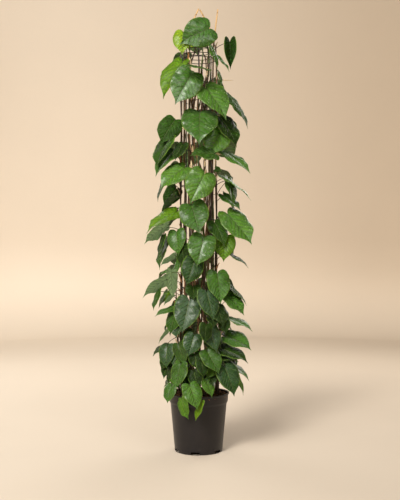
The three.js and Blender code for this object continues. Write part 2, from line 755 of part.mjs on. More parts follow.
addPiece('pot', geometryFrom(potSolid()), materials.pot);
addPiece('soil', geometryFrom(soilSolid()), materials.soil);
const lattice = columnGeometry();
lattice.computeVertexNormals();
addPiece('climbing_column', lattice, materials.wire);
caneLines.forEach((line, i) => {
  const geometry = tube(line, line.map(() => cane.radius), cane.sides, point(1, 0, 0));
  geometry.computeVertexNormals();
  addPiece(`cane_${i + 1}`, geometry, materials.cane);
});
stems.forEach((stem, i) => {
  const number = stem.kind === vine ? i + 1 : i + 1 - vine.count;
  addPiece(`${stem.kind === vine ? 'vine' : 'shoot'}_${number}`, geometryFrom(stemSolid(stem, i)), materials.foliage);
});

export default plant;
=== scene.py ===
import math
from itertools import product
from types import SimpleNamespace

import bmesh
import bpy
import numpy as np
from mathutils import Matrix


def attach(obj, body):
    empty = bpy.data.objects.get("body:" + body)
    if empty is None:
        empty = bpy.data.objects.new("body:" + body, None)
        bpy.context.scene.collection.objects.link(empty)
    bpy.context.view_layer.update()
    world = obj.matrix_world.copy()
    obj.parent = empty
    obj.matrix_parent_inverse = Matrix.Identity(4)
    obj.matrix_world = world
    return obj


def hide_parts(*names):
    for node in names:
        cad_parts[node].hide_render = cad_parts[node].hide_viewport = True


# Potted heartleaf philodendron that climbs a round wire column with four bamboo canes inside it.
# Sizes in the dictionaries are millimetres, as in the part's source; meshes are made in metres.
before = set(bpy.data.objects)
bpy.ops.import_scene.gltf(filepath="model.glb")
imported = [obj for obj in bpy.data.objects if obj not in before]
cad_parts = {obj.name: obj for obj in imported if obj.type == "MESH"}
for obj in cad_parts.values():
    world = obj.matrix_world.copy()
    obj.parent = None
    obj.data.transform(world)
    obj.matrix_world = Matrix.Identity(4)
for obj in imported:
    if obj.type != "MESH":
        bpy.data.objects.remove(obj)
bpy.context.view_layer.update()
mm = 0.001

pot = {
    "height": 233, "rimRadius": 122, "bandRadius": 118.5, "bandFoot": 199, "stepRadius": 112,
    "stepTop": 190, "footRadius": 95, "wall": 2.6, "floorUnder": 11, "floorTop": 14, "padRadius": 38,
    "notches": 6, "notchWidth": 36, "notchDepth": 24, "notchHeight": 10.5, "notchMiddle": 6.8,
    "notchRound": 1.6, "notchTurn": -8, "softCorner": 1.6, "crease": 0.6, "sides": 144,
}
soil = {
    "middle": 228, "edge": 222, "gap": 0.3, "plumb": 12, "level": 58, "fall": 5, "rings": 40, "sides": 96,
    "waves": 14, "unevenness": 0.45, "crease": 1.2,
}
column = {
    "radius": 70, "wires": 8, "wireRadius": 1.5, "foot": 60, "top": 1625, "firstRing": 380,
    "ringStep": 135, "rings": 10, "firstTie": 1560, "tieStep": 15, "ties": 2, "weld": 2.1,
}
cane = {"radius": 2.5, "fuller": 1.16, "spacing": 148, "swell": 0.16, "joint": 3.0, "sides": 12}
vine = {
    "count": 8, "radius": 76, "root": 150, "step": 110, "thick": 3.4, "thin": 2.6, "sway": 0.1,
    "wave": 560, "phase": 1.3, "lean": 0,
}
shoot = {
    "count": 6, "radius": 90, "root": 150, "step": 110, "thick": 3, "thin": 2.3, "sway": 0,
    "wave": 1, "phase": 0, "lean": 0.03,
}
blade = {"lobe": 0.16, "ratio": 0.84, "hold": 5, "level": 0.5, "midrib": 0.38, "middle": 0.42}
petiole = {"lift": 0.2, "knee": 0.45, "steps": 9, "nearRim": 20, "pastRim": 8, "overRim": 75}
clear = {
    "blade": 4.5, "petiole": 3.6, "stem": 6, "column": 82, "columnTop": 10, "margin": 2, "hardware": 4,
    "petioleHardware": 3, "wall": 12, "caneLowest": 30,
}

# The eye that the listed leaves are read from: how far right of the axis, how high, how far in front.
eye = {"across": 5.6, "height": 800, "distance": 3400, "lens": 61.2, "sensor": 36}

vineTops = [1560, 1610, 1530, 1590, 1545, 1600, 1570, 1620]  # from the front round by the right
shootTops = [560, 620, 480, 540, 500, 640]

# Leaves as seen from the front: finish, [x, z] of the junction, [x, z] of the tip, width seen, distance
# from the axis (behind it where negative), then -1 for a leaf that shows its underside, and its fold.
frontLeaves = [
    ["glossy", 39, 1682, -83, 1617, 120, 84],
    ["fresh", -62, 1672, -66, 1583, 80, 95],
    ["fresh", -25, 1672, -40, 1600, 70, -84],
    ["glossy", -22, 1496, -104, 1368, 115, 112],
    ["young", -65, 1555, -140, 1415, 112, 98],
    ["light", 30, 1448, 111, 1325, 110, 105],
    ["olive", 118, 1432, 197, 1300, 50, 125, 1, 0.5],
    ["lime", 83, 1510, 88, 1455, 22, 92],
    ["shade", 122, 1632, 124, 1525, 50, 128, 1, 0.6],
    ["mid", 60, 1585, 120, 1517, 30, 95],
    ["mid", 52, 1612, 75, 1525, 35, 92],
    ["glossy", 15, 1345, 3, 1232, 135, 100],
    ["olive", -96, 1330, -150, 1205, 75, 110],
    ["edged", -118, 1243, -170, 1135, 62, 130],
    ["even", -103, 1195, -172, 1100, 60, 112],
    ["dark", -65, 1223, -95, 1160, 50, 90],
    ["dark", 88, 1330, 152, 1215, 80, 108],
    ["light", 87, 1270, 33, 1176, 110, 118],
    ["deep", 65, 1185, -36, 1185, 60, 98],
    ["ribbed", 102, 1193, 207, 1112, 50, 112],
    ["mid", 67, 1125, 93, 1118, 30, 92],
    ["light", -58, 1128, -154, 1052, 85, 102],
    ["light", 23, 1104, -34, 990, 120, 120],
    ["mid", 104, 1090, 210, 1005, 18, 115],
    ["mid", 120, 1082, 136, 982, 43, 125],
    ["even", 100, 1020, 168, 962, 40, 110],
    ["dark", -138, 1080, -164, 995, 25, 145],
    ["olive", -90, 1045, -140, 975, 70, -95],
    ["bright", -93, 953, -209, 876, 55, 100],
    ["even", -28, 978, 4, 868, 120, 112],
    ["light", 117, 945, 213, 828, 100, 125],
    ["deep", 65, 910, 104, 815, 70, 95],
    ["bright", 105, 850, 100, 755, 90, 116],
    ["pale", 21, 850, -8, 736, 113, 118],
    ["mid", -89, 873, -79, 780, 76, 108],
    ["grey", -124, 892, -213, 826, 28, 130, -1],
    ["dark", -143, 855, -160, 780, 30, 150],
    ["edged", -128, 845, -156, 725, 40, 132],
    ["grey", -93, 783, -153, 740, 28, 98, -1],
    ["even", -82, 755, -97, 690, 30, 92],
    ["mid", -103, 720, -155, 706, 16, 107],
    ["grey", -128, 683, -224, 614, 45, 132, -1],
    ["dim", -15, 760, -48, 663, 90, 112],
    ["grey", -110, 713, -102, 608, 40, 118, -1],
    ["edged", -160, 638, -181, 560, 30, 164],
    ["young", -125, 635, -160, 570, 30, 130],
    ["grey", -102, 620, -140, 580, 20, 112, -1],
    ["mid", 75, 706, 88, 588, 96, 108],
    ["olive", 126, 655, 192, 581, 20, 130],
    ["mid", 115, 622, 182, 543, 60, 125],
    ["dark", 120, 790, 200, 733, 15, 124],
    ["blue", 33, 632, 59, 520, 86, 112],
    ["blue", -38, 598, -67, 470, 110, 120],
    ["even", -95, 570, -175, 539, 26, 108],
    ["edged", -95, 550, -113, 465, 60, 116],
    ["even", 113, 527, 216, 480, 17, 120],
    ["dark", 100, 520, 110, 468, 50, 116],
    ["blue", 40, 490, 73, 393, 76, 125],
    ["even", 113, 462, 211, 413, 55, 125],
    ["blue", -18, 458, -42, 377, 78, 130],
    ["edged", -28, 478, -65, 460, 25, 115],
    ["blue", -125, 415, -128, 328, 65, 140],
    ["deep", -80, 423, -52, 342, 63, 128],
    ["dark", -130, 425, -183, 380, 20, 134],
    ["grey", -119, 486, -160, 428, 18, 124, -1],
    ["dark", -18, 385, 1, 321, 60, 128],
    ["deep", 35, 395, 82, 305, 75, 132],
    ["dark", 95, 405, 198, 355, 45, 118],
    ["dark", 85, 385, 160, 358, 35, 114],
    ["even", 122, 350, 203, 282, 26, 128],
    ["dim", 105, 332, 143, 219, 88, 150],
    ["lime", 150, 310, 179, 221, 25, 160],
    ["light", 55, 330, 35, 288, 50, 120],
    ["deep", -72, 343, -89, 249, 65, 134],
    ["dark", -115, 325, -118, 262, 30, 126],
    ["dark", -20, 315, 0, 246, 60, 134],
    ["light", -35, 258, -4, 163, 75, 166],
    ["light", 28, 282, 54, 213, 48, 138],
    ["lime", -105, 283, -76, 248, 25, 130],
    ["even", -108, 258, -125, 188, 48, 140],
    ["lime", -68, 203, -40, 126, 47, 140],
    ["young", 9, 192, -12, 118, 30, 140],
]

# Listed leaves that differ from their solids: another place and width as seen, another half width, fold
# or droop, a half that is wider by a share, a blade that faces the eye, or a shift along x, y and z.
restyled = {
    0: {"seen": [42, 1686, -75, 1630], "width": 124},
    3: {"seen": [-28, 1502, -94, 1384], "width": 126, "shift": (0, -14, 0)},
    4: {"half": 52, "fold": 0.5, "droop": 0.2, "shift": (-3, 24, 0)},
    11: {"seen": [5, 1348, 2, 1230], "width": 148},
    6: {"half": 58, "fold": 0.1, "droop": 0.2, "shift": (0, 0, -8)},
    8: {"half": 25, "fold": 1.6, "droop": 0.25, "facing": True, "shift": (3, 0, 0)},
    12: {"seen": [-97, 1318, -153, 1226], "width": 94},
    17: {"shift": (0, -20, 0)},
    9: {"wider": 0.74, "shift": (3, 0, 0)},
    10: {"wider": 0.75},
    35: {"wider": 1.3, "shift": (-4, 0, 4)},
    55: {"wider": 1.12},
    58: {"wider": 1.1, "shift": (0, 0, -7)},
}
edgeOn = {"width": 31, "half": 0.8, "fold": 0.5}  # listed leaves seen this narrow are made slimmer

# Hidden leaves that are moved one by one, by their number: turn round the column, slide and size.
nudged = {
    118: (0.75, 72, 0.8), 83: (-0.05, 52, 0.85), 153: (-0.62, 0, 0.85), 101: (0.5, 10, 0.9),
    128: (0.3, -10, 0.9), 135: (-0.7, 0, 0.9), 145: (-0.35, -14, 0.9),
}

# How each finish looks: tone from 0, old and bluish, to 1, young and lime; gloss; pale margin; veins.
# The blue of the lowest tones is partly a painted sheen, and the darkest tones, near 0.2, are partly painted
# shade.
finishes = {
    "blue": (0.02, 0.4, 0.7, 0.8), "dim": (0.08, 0.25, 0.7, 0.8), "shade": (0.17, 0.05, 0.9, 0.3),
    "dark": (0.21, 0.15, 0.7, 0.4), "olive": (0.27, 0.05, 0.4, 0.4), "edged": (0.3, 0.15, 1.0, 0.4),
    "deep": (0.35, 0.5, 0.7, 0.8), "even": (0.42, 0.4, 0.7, 0.8), "mid": (0.5, 0.4, 0.6, 0.8),
    "glossy": (0.46, 1.0, 0.5, 0.9), "pale": (0.5, 0.6, 0.6, 1.0), "light": (0.6, 0.5, 0.6, 1.0),
    "bright": (0.74, 0.3, 0.3, 0.5), "young": (0.8, 0.25, 0.3, 0.5), "lime": (0.64, 0.05, 0.6, 0.4),
    "fresh": (1.0, 0.4, 0.3, 0.6), "grey": (0.46, 0.2, 0.3, 1.0), "ribbed": (0.62, 0.25, 0.3, 1.0),
}


# Small seeded generator, the same as in the part's source, so that each leaf lands on its solid.
def makeDraw(seed):
    state = seed

    def draw():
        nonlocal state
        state = (state * 1664525 + 1013904223) & 0xFFFFFFFF
        return state / 4294967296

    return draw


def mix(a, b, t):
    return a + (b - a) * t


def place(x, y, z):
    return np.array((x, y, z), float)


def unit(v):
    return v / math.sqrt(float(v @ v))


def turnedBy(a, b):
    return np.array((a[1] * b[2] - a[2] * b[1], a[2] * b[0] - a[0] * b[2], a[0] * b[1] - a[1] * b[0]))


def span(a, b):
    return math.sqrt(float((a - b) @ (a - b)))


def aroundAxis(turn, radius, height):
    return place(radius * math.sin(turn), -radius * math.cos(turn), height)


def outwardAt(spot):
    return unit(place(spot[0], spot[1], 0))


up = place(0, 0, 1)


def seenScale(depth):
    return (eye["distance"] + depth) / eye["distance"]


# The place that lies this deep behind the plane of the axis and is seen at x and z of that plane.
def behind(x, z, depth):
    scale = seenScale(depth)
    return place(eye["across"] + (x - eye["across"]) * scale, depth,
                 eye["height"] + (z - eye["height"]) * scale)


# Stems: lines of points at even steps of height, plumb where they pass the soil.
stemFoot = soil["middle"] + soil["plumb"]
spotStep = 6


def stemPoint(stem, z, height):
    kind = stem.kind
    rise = z - stemFoot
    angle = stem.turn + kind["sway"] * math.sin(2 * math.pi * rise / kind["wave"] + stem.phase)
    return aroundAxis(angle, kind["radius"] + kind["lean"] * rise, height)


def onStem(stem, z):
    line = stem.line
    i = 1
    while i < len(line) - 2 and line[i + 1][2] < z:
        i += 1
    t = (z - line[i][2]) / (line[i + 1][2] - line[i][2])
    return line[i] + (line[i + 1] - line[i]) * t


def makeStem(kind, turn, top, phase):
    stem = SimpleNamespace(kind=kind, turn=turn, top=top, phase=phase)
    stem.line = [stemPoint(stem, stemFoot, kind["root"]), stemPoint(stem, stemFoot, stemFoot)]
    z = stemFoot + kind["step"]
    while z < top - kind["step"] / 2:
        stem.line.append(stemPoint(stem, z, z))
        z += kind["step"]
    stem.line.append(stemPoint(stem, top, top))
    stem.spots = np.array([onStem(stem, z) for z in np.arange(soil["edge"], top, spotStep)])
    return stem


stems = []
for kind, tops, first in ((vine, vineTops, 0.5), (shoot, shootTops, 0)):
    for i, top in enumerate(tops):
        stems.append(makeStem(kind, 2 * math.pi * (i + first) / kind["count"], top, kind["phase"] * i))

caneLines = [
    [[-45, -30, 70], [-45, -30, 245], [-54, -24, 1000], [-57, -20, 1560], [-55, -14, 1650],
     [-19, -6, 1722], [0, -4, 1764]],
    [[50, 25, 70], [50, 25, 245], [56, 20, 1000], [58, 18, 1560], [57, 14, 1655],
     [22, 8, 1732], [5, 5, 1762]],
    [[20, -45, 70], [20, -45, 245], [44, -30, 1000], [60, -8, 1600], [68, -2, 1690], [77, 0, 1762]],
    [[-20, 48, 70], [-20, 48, 245], [-38, 22, 1000], [-34, -2, 1520], [-12, -16, 1600],
     [4, -22, 1650]],
]
caneSpots = []
for line in caneLines:
    for a, b in zip(line[1:-1], line[2:]):
        count = math.ceil(span(place(*a), place(*b)) / spotStep)
        caneSpots += [[mix(a[n], b[n], k / count) for n in range(3)] for k in range(count + 1)]
caneSpots = np.array([spot for spot in caneSpots if spot[2] > column["top"] - clear["caneLowest"]])

# Where a leaf and its petiole may go: the same rule as in the part's source.
widthKnots = [[-0.17, 0.3], [-0.1, 0.75], [-0.02, 0.92], [0.22, 1], [0.6, 0.57], [0.84, 0.15], [1, 0.02]]
widthAt, widthShares = np.array(widthKnots).T
spotRows = [-0.13, 0, 0.12, 0.25, 0.4, 0.55, 0.7, 0.85, 1]
spotShares = [-1, -0.66, -0.33, 0, 0.33, 0.66, 1]
spotPairs = np.array([(a, s) for a in spotRows for s in spotShares if a >= 0 or s != 0])
spotWidths = spotPairs[:, 1] * np.interp(spotPairs[:, 0], widthAt, widthShares)


def riseOf(leaf, a, b):
    side = np.abs(b) / leaf.half
    bow = leaf.length * (leaf.arch * 4 * a * (1 - a))
    return bow + leaf.half * (leaf.fold * side - leaf.droop * side * side)


def onBlade(leaf, a, b):
    return leaf.base + leaf.along * (a * leaf.length) + leaf.across * b + leaf.face * riseOf(leaf, a, b)


def overBlade(leaf, places, margin):
    d = places - leaf.base
    a = d @ leaf.along / leaf.length
    b = d @ leaf.across
    more = margin / leaf.length
    inside = (a >= -blade["lobe"] - more) & (a <= 1 + more)
    inside &= np.abs(b) <= np.interp(a, widthAt, widthShares) * leaf.half + margin
    return (d @ leaf.face - riseOf(leaf, a, b))[inside]


def bladesMeet(one, other):
    for spots, target in ((one.spots, other), (other.spots, one)):
        gaps = overBlade(target, spots, clear["margin"])
        if len(gaps) and (np.abs(gaps).min() < clear["blade"] or (gaps.max() > 0 and gaps.min() < 0)):
            return True
    return False


def lineMeetsBlade(spots, leaf, distance):
    near = spots[np.sqrt(((spots - leaf.middle) ** 2).sum(1)) <= leaf.reach + distance]
    if not len(near):
        return False
    gaps = overBlade(leaf, near, distance)
    return bool(len(gaps)) and np.abs(gaps).min() < distance


def linesMeet(one, other, distance):
    apart = one[:, None] - other[None]
    return (apart * apart).sum(2).min() < distance * distance


def petioleArc(leaf, stem, low):
    start = onStem(stem, low)
    ridge = riseOf(leaf, blade["midrib"], 0) * blade["hold"] / (blade["midrib"] * leaf.length)
    end = leaf.base + leaf.along * blade["hold"] + leaf.face * (ridge - blade["level"])
    bend = start + (end - start) * 0.5
    bend[2] += petiole["lift"] * span(start, end)
    if leaf.base[2] < pot["height"] + petiole["nearRim"]:
        flat = math.hypot(leaf.base[0], leaf.base[1])
        out = pot["rimRadius"] + petiole["pastRim"]
        bend = place(leaf.base[0] * out / flat, leaf.base[1] * out / flat, pot["height"] + petiole["overRim"])
    return start, bend, end


def alongArc(arc, t):
    start, bend, end = arc
    return start * (1 - t) ** 2 + bend * (2 * t * (1 - t)) + end * t * t


def inHardware(places, room):
    flat = np.hypot(places[:, 0], places[:, 1])
    z = places[:, 2]
    rim = pot["rimRadius"]
    inSoil = (z < soil["middle"] + room) & (flat < rim + room)
    inWall = (z < pot["height"] + room) & (flat > rim - clear["wall"]) & (flat < rim + room)
    inColumn = (z < column["top"] + room) & (flat < column["radius"] + room)
    return bool((inSoil | inWall | inColumn).any())


leaves = []
far = {"turn": 7, "blade": 600, "petiole": 260}  # nothing further apart than this is compared


def fits(leaf, strict):
    flat = np.hypot(leaf.spots[:, 0], leaf.spots[:, 1])
    low = leaf.spots[:, 2] < column["top"] + clear["columnTop"]
    if inHardware(leaf.spots, clear["hardware"]) or (low & (flat < clear["column"])).any():
        return False
    if inHardware(leaf.petiole[2:], clear["petioleHardware"]):
        return False
    lines = [caneSpots] + [stem.spots for stem in stems[vine["count"]:]]
    if any(lineMeetsBlade(line, leaf, clear["stem"]) for line in lines):
        return False
    for i, stem in enumerate(stems):
        if i != leaf.stem and abs(stem.turn - leaf.turn) < far["turn"]:
            if linesMeet(leaf.petiole, stem.spots, clear["stem"]):
                return False
    for other in leaves:
        same = other.stem == leaf.stem
        apart = span(leaf.middle, other.middle)
        if strict or not same:
            if apart <= leaf.reach + other.reach + clear["blade"] and bladesMeet(leaf, other):
                return False
            if apart < far["blade"] and (lineMeetsBlade(leaf.petiole, other, clear["petiole"])
                                         or lineMeetsBlade(other.petiole, leaf, clear["petiole"])):
                return False
        if not same and apart < far["petiole"] and linesMeet(leaf.petiole, other.petiole, clear["petiole"]):
            return False
    return True


def overLeaf(leaf, along, widths):
    b = widths * leaf.half
    return (leaf.base + np.outer(along * leaf.length, leaf.along) + np.outer(b, leaf.across)
            + np.outer(riseOf(leaf, along, b), leaf.face))


def finishedLeaf(leaf):
    leaf.middle = onBlade(leaf, blade["middle"], 0)
    leaf.reach = max(0.6, blade["middle"] + blade["lobe"]) * leaf.length + 0.25 * leaf.half
    leaf.spots = overLeaf(leaf, spotPairs[:, 0], spotWidths)
    leaf.turn = math.atan2(leaf.base[0], -leaf.base[1])
    return leaf


# A leaf hangs from the nearest stem that it can reach without meeting anything; vines stay off the soil.
seating = {"underTop": 12, "overSoil": 25, "vineLowest": 300, "vineLow": 420, "vineCost": 25, "looks": 3}


def seat(leaf, strict):
    rated = []
    for index, stem in enumerate(stems):
        if stem.kind is vine and leaf.base[2] < seating["vineLowest"]:
            continue
        start = max(min(leaf.base[2] - leaf.drop, stem.top - seating["underTop"]),
                    soil["middle"] + seating["overSoil"])
        cost = seating["vineCost"] if stem.kind is vine and leaf.base[2] < seating["vineLow"] else 0
        rated.append((span(onStem(stem, start), leaf.base) + cost, index, start))
    for cost, index, start in sorted(rated)[:seating["looks"]]:
        leaf.arc = petioleArc(leaf, stems[index], start)
        knee = alongArc(leaf.arc, petiole["knee"])
        leaf.stem = index
        steps = np.arange(1, petiole["steps"] + 1)[:, None] / petiole["steps"]
        leaf.petiole = np.vstack((leaf.arc[0] + (knee - leaf.arc[0]) * steps,
                                  knee + (leaf.arc[2] - knee) * steps))
        if fits(leaf, strict):
            leaves.append(leaf)
            return True
    return False


def listedLeaf(row, traits, shift, lean):
    finish, x, z, tipX, tipZ, width, out = row[:7]
    side = row[7] if len(row) > 7 else 1
    fold = row[8] if len(row) > 8 else traits[0]
    forward = 1 if out > 0 else -1
    depth = -forward * math.sqrt(max(out * out - x * x, 0)) + shift
    scale = seenScale(depth)
    seen = math.hypot(tipX - x, tipZ - z) * scale
    length = max(1.03 * seen, width * scale / 0.95)
    run = math.sqrt(length * length - seen * seen) * lean * forward
    base = behind(x, z, depth)
    tip = behind(tipX, tipZ, depth - run)
    whole = span(tip, base)
    along = (tip - base) / whole
    full = max(width * scale, blade["ratio"] * whole)
    cosine = min(1, width * scale / full)
    front = unit(place(0, -1, 0) + along * along[1])
    edge = turnedBy(along, front)
    if edge[2] + edge[0] * base[0] / math.hypot(base[0], base[1]) < 0:
        edge = -edge
    face = unit(front * (cosine * side) + edge * math.sqrt(1 - cosine * cosine))
    return finishedLeaf(SimpleNamespace(
        base=base, along=along, face=face, across=turnedBy(face, along), length=whole, half=full / 2,
        fold=fold, droop=traits[1], arch=traits[2], drop=traits[3], finish=finish))


shifts = [0, -7, 7, -14, 14, -21, 21, -28, 28, -36, 36, -44, 44, -52, -60, -68, -76]
leans = [1, 0.55, 1.35]


def seatListed(row, traits):
    for strict in (True, False):
        for shift in shifts:
            for lean in leans:
                leaf = listedLeaf(row, traits, shift, lean)
                if seat(leaf, strict):
                    leaf.row = frontLeaves.index(row)
                    leaf.fit = (traits, shift, lean)
                    return


def drawTraits(draw):
    return 0.12 + 0.16 * draw(), 0.05 + 0.1 * draw(), 0.015 + 0.045 * draw(), 12 + 26 * draw()


drawFront = makeDraw(20261)
for row in frontLeaves:
    seatListed(row, drawTraits(drawFront))

# Leaves that the front hides: they hang from the stems by a rule, at the back and near the soil.
hanging = {"longer": 0.26, "tilt": (0.35, 0.75), "skew": 0.7, "roll": 0.7, "ratio": (0.86, 0.12)}
back = {
    "side": 1.7, "from": 1.95, "swing": 0.32, "first": 270, "vineHigher": 120, "step": 94, "past": 25,
    "low": 700, "lowOut": 112, "out": 96, "deeper": 24, "uneven": 18, "lowSize": 90, "size": 110, "tries": 40,
}
filling = {
    "count": 20, "first": 262, "last": 590, "uneven": 20, "turn": 1.6, "waver": 0.3, "golden": 0.618034,
    "size": 78, "out": 88, "deeper": 24, "tries": 60,
}


def hangingLeaf(draw, turn, height, size, out):
    length = size + hanging["longer"] * size * draw()
    tilt = hanging["tilt"][0] + hanging["tilt"][1] * draw()
    skew = hanging["skew"] * (draw() - 0.5)
    roll = hanging["roll"] * (draw() - 0.5)
    radial = aroundAxis(turn, 1, 0)
    sideways = place(math.cos(turn), math.sin(turn), 0)
    base = radial * out + up * height
    along = unit(radial * math.sin(tilt) - up * math.cos(tilt) + sideways * skew)
    over = radial * math.cos(tilt) + up * math.sin(tilt) + sideways * roll
    face = unit(over - along * float(over @ along))
    half = length * (hanging["ratio"][0] + hanging["ratio"][1] * draw()) / 2
    fold, droop, arch, drop = drawTraits(draw)
    return finishedLeaf(SimpleNamespace(
        base=base, along=along, face=face, across=turnedBy(face, along), length=length, half=half,
        fold=fold, droop=droop, arch=arch, drop=drop, finish=None, row=None))


def fillFront(draw):
    for i in range(filling["count"]):
        share = (i * filling["golden"]) % 1
        level = mix(filling["first"], filling["last"], i / filling["count"])
        for go in range(filling["tries"]):
            turn = filling["turn"] * (2 * share - 1) + filling["waver"] * (draw() - 0.5)
            height = level + filling["uneven"] * (draw() - 0.5)
            out = filling["out"] + filling["deeper"] * draw()
            if seat(hangingLeaf(draw, turn, height, filling["size"], out), True):
                break


def fillBack(draw, stem):
    height = back["first"] + (back["vineHigher"] if stem.kind is vine else 0)
    hand = 1
    while height < stem.top + back["past"]:
        low = height < back["low"]
        for go in range(back["tries"]):
            wanted = stem.turn + hand * back["swing"] * (0.4 + draw())
            turn = min(max(wanted, back["from"]), 2 * math.pi - back["from"])
            out = (back["lowOut"] if low else back["out"]) + back["deeper"] * draw()
            level = height + back["uneven"] * (draw() - 0.5)
            leaf = hangingLeaf(draw, turn, level, back["lowSize"] if low else back["size"], out)
            if seat(leaf, go < back["tries"] / 2):
                break
        hand = -hand
        height += back["step"]


fillFront(makeDraw(99))
drawBack = makeDraw(4711)
for stem in stems:
    if back["side"] <= stem.turn <= 2 * math.pi - back["side"]:
        fillBack(drawBack, stem)
print("leaves placed:", len(leaves))


def nodeOf(index):
    return f"vine_{index + 1}" if index < vine["count"] else f"shoot_{index + 1 - vine['count']}"


def furthestTip():
    worst = 0
    for index in range(len(stems)):
        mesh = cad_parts[nodeOf(index)].data
        corners = np.zeros(len(mesh.vertices) * 3, np.float32)
        mesh.vertices.foreach_get("co", corners)
        corners = corners.reshape(-1, 3) / mm
        for leaf in leaves:
            if leaf.stem == index:
                worst = max(worst, float(np.sqrt(((corners - onBlade(leaf, 1, 0)) ** 2).sum(1)).min()))
    return worst


print("furthest leaf tip from its solid, mm:", round(furthestTip(), 3))

for leaf in leaves:
    if leaf.finish and frontLeaves[leaf.row][5] < edgeOn["width"] and leaf.row not in restyled:
        leaf.half *= edgeOn["half"]
        leaf.fold *= edgeOn["fold"]
for number, change in restyled.items():
    index, leaf = next((k, leaf) for k, leaf in enumerate(leaves) if leaf.row == number)
    if "seen" in change:
        row = list(frontLeaves[number])
        row[1:6] = [*change["seen"], change["width"]]
        other = listedLeaf(row, *leaf.fit)
        other.arc = (leaf.arc[0], leaf.arc[1], other.base + other.along * blade["hold"])
        other.petiole, other.stem, other.row = leaf.petiole, leaf.stem, leaf.row
        leaves[index] = leaf = other
    leaf.base = leaf.base + place(*change.get("shift", (0, 0, 0)))
    leaf.half = change.get("half", leaf.half * change.get("wider", 1))
    leaf.fold = change.get("fold", leaf.fold)
    leaf.droop = change.get("droop", leaf.droop)
    if "facing" in change:
        leaf.face = unit(place(0, -1, 0) + leaf.along * leaf.along[1])
        leaf.across = turnedBy(leaf.face, leaf.along)

# Hidden leaves turn or slide a little round the column until the listed ones cover them from the front.
tuck = {
    "spins": [0.06 * k for k in range(-13, 14)], "slides": [0, -24, 24], "sizes": [1, 0.88, 0.76],
    "cell": 5, "looks": 90, "near": 330, "front": 1.25, "furthest": 1.75, "lowest": 262, "seen": 0.25,
    "bareCost": 60, "sizeCost": 12, "spinCost": 6, "slideCost": 0.05,
}


def seenFrom(places):
    depth = eye["distance"] / (eye["distance"] + places[:, 1])
    return np.column_stack((eye["across"] + (places[:, 0] - eye["across"]) * depth,
                            eye["height"] + (places[:, 2] - eye["height"]) * depth))


def cellsOf(places):
    return [(int(x), int(z)) for x, z in np.floor(seenFrom(places) / tuck["cell"])]


def barePoints(leaf):
    return sum(cell not in covered for cell in cellsOf(leaf.spots))


def coveredCells():
    pairs = np.array([(a, s) for a in np.linspace(-0.13, 1, 40) for s in np.linspace(-1, 1, 31)])
    widths = pairs[:, 1] * np.interp(pairs[:, 0], widthAt, widthShares)
    cells = set()
    for leaf in leaves:
        if leaf.finish:
            cells.update(cellsOf(overLeaf(leaf, pairs[:, 0], widths)))
    return cells


def turnedAbout(v, turn):
    c, s = math.cos(turn), math.sin(turn)
    return place(c * v[0] - s * v[1], s * v[0] + c * v[1], v[2])


def spun(leaf, angle, slide, size):
    other = SimpleNamespace(**vars(leaf))
    other.base = turnedAbout(leaf.base, angle) + up * slide
    other.along = turnedAbout(leaf.along, angle)
    other.face = turnedAbout(leaf.face, angle)
    other.across = turnedAbout(leaf.across, angle)
    other.length = leaf.length * size
    other.half = leaf.half * size
    start, bend, end = leaf.arc
    other.arc = (start, turnedAbout(bend, angle / 2) + up * (slide / 2), turnedAbout(end, angle) + up * slide)
    return finishedLeaf(other)


def tuckLeaf(index):
    leaf = leaves[index]
    near = [other for k, other in enumerate(leaves)
            if k != index and span(leaf.middle, other.middle) < tuck["near"]]
    options = []
    for size, slide, spin in product(tuck["sizes"], tuck["slides"], tuck["spins"]):
        other = spun(leaf, spin, slide, size)
        bare = barePoints(other) / len(other.spots)
        cost = (tuck["bareCost"] * bare + tuck["sizeCost"] * (1 - size) + tuck["spinCost"] * abs(spin)
                + tuck["slideCost"] * abs(slide))
        if abs(other.turn) > min(tuck["furthest"], abs(leaf.turn)) and other.base[2] > tuck["lowest"]:
            options.append((cost, len(options), other))
    for cost, order, other in sorted(options)[:tuck["looks"]]:
        if not any(bladesMeet(other, rest) for rest in near):
            leaves[index] = other
            return


covered = coveredCells()
for number, move in nudged.items():
    leaves[number] = spun(leaves[number], *move)
for go in range(2):
    for index, leaf in enumerate(leaves):
        if leaf.finish is None and abs(leaf.turn) > tuck["front"] and index not in nudged:
            if barePoints(leaf) > tuck["seen"] * go * len(leaf.spots):
                tuckLeaf(index)

# Leaves seen between the others that the solids leave out, in the same form as the listed ones.
betweenRows = [
    ["deep", 34, 1521, -64, 1535, 22, 104], ["shade", -66, 812, -52, 730, 56, 82],
    ["dark", -112, 385, -150, 322, 46, 108], ["dark", 76, 350, 86, 272, 54, 94],
    ["dark", 70, 345, 66, 275, 46, 88], ["dark", -58, 400, -66, 330, 54, 90],
    ["dark", 30, 500, 24, 430, 54, 90], ["dark", 12, 355, 20, 290, 50, 90],
    ["dark", -120, 350, -140, 286, 44, 112], ["dark", -70, 505, -84, 440, 50, 92],
]
drawBetween = makeDraw(606)
for row in betweenRows:
    traits = drawTraits(drawBetween)
    for shift in shifts:
        if seat(listedLeaf(row, traits, shift, 1), True):
            break
print("leaves with the ones between:", len(leaves))

# Small leaves in the shade between the others, near the soil, that the solids leave out.
heavier = {
    "count": 130, "first": 250, "last": 660, "turn": 2.3, "size": 56, "out": 84, "deeper": 30, "tries": 14,
    "bare": 0.2, "middle": 11, "soilFrom": -10, "soilTo": 108, "soilTop": 272, "soilTurn": 1.5,
}


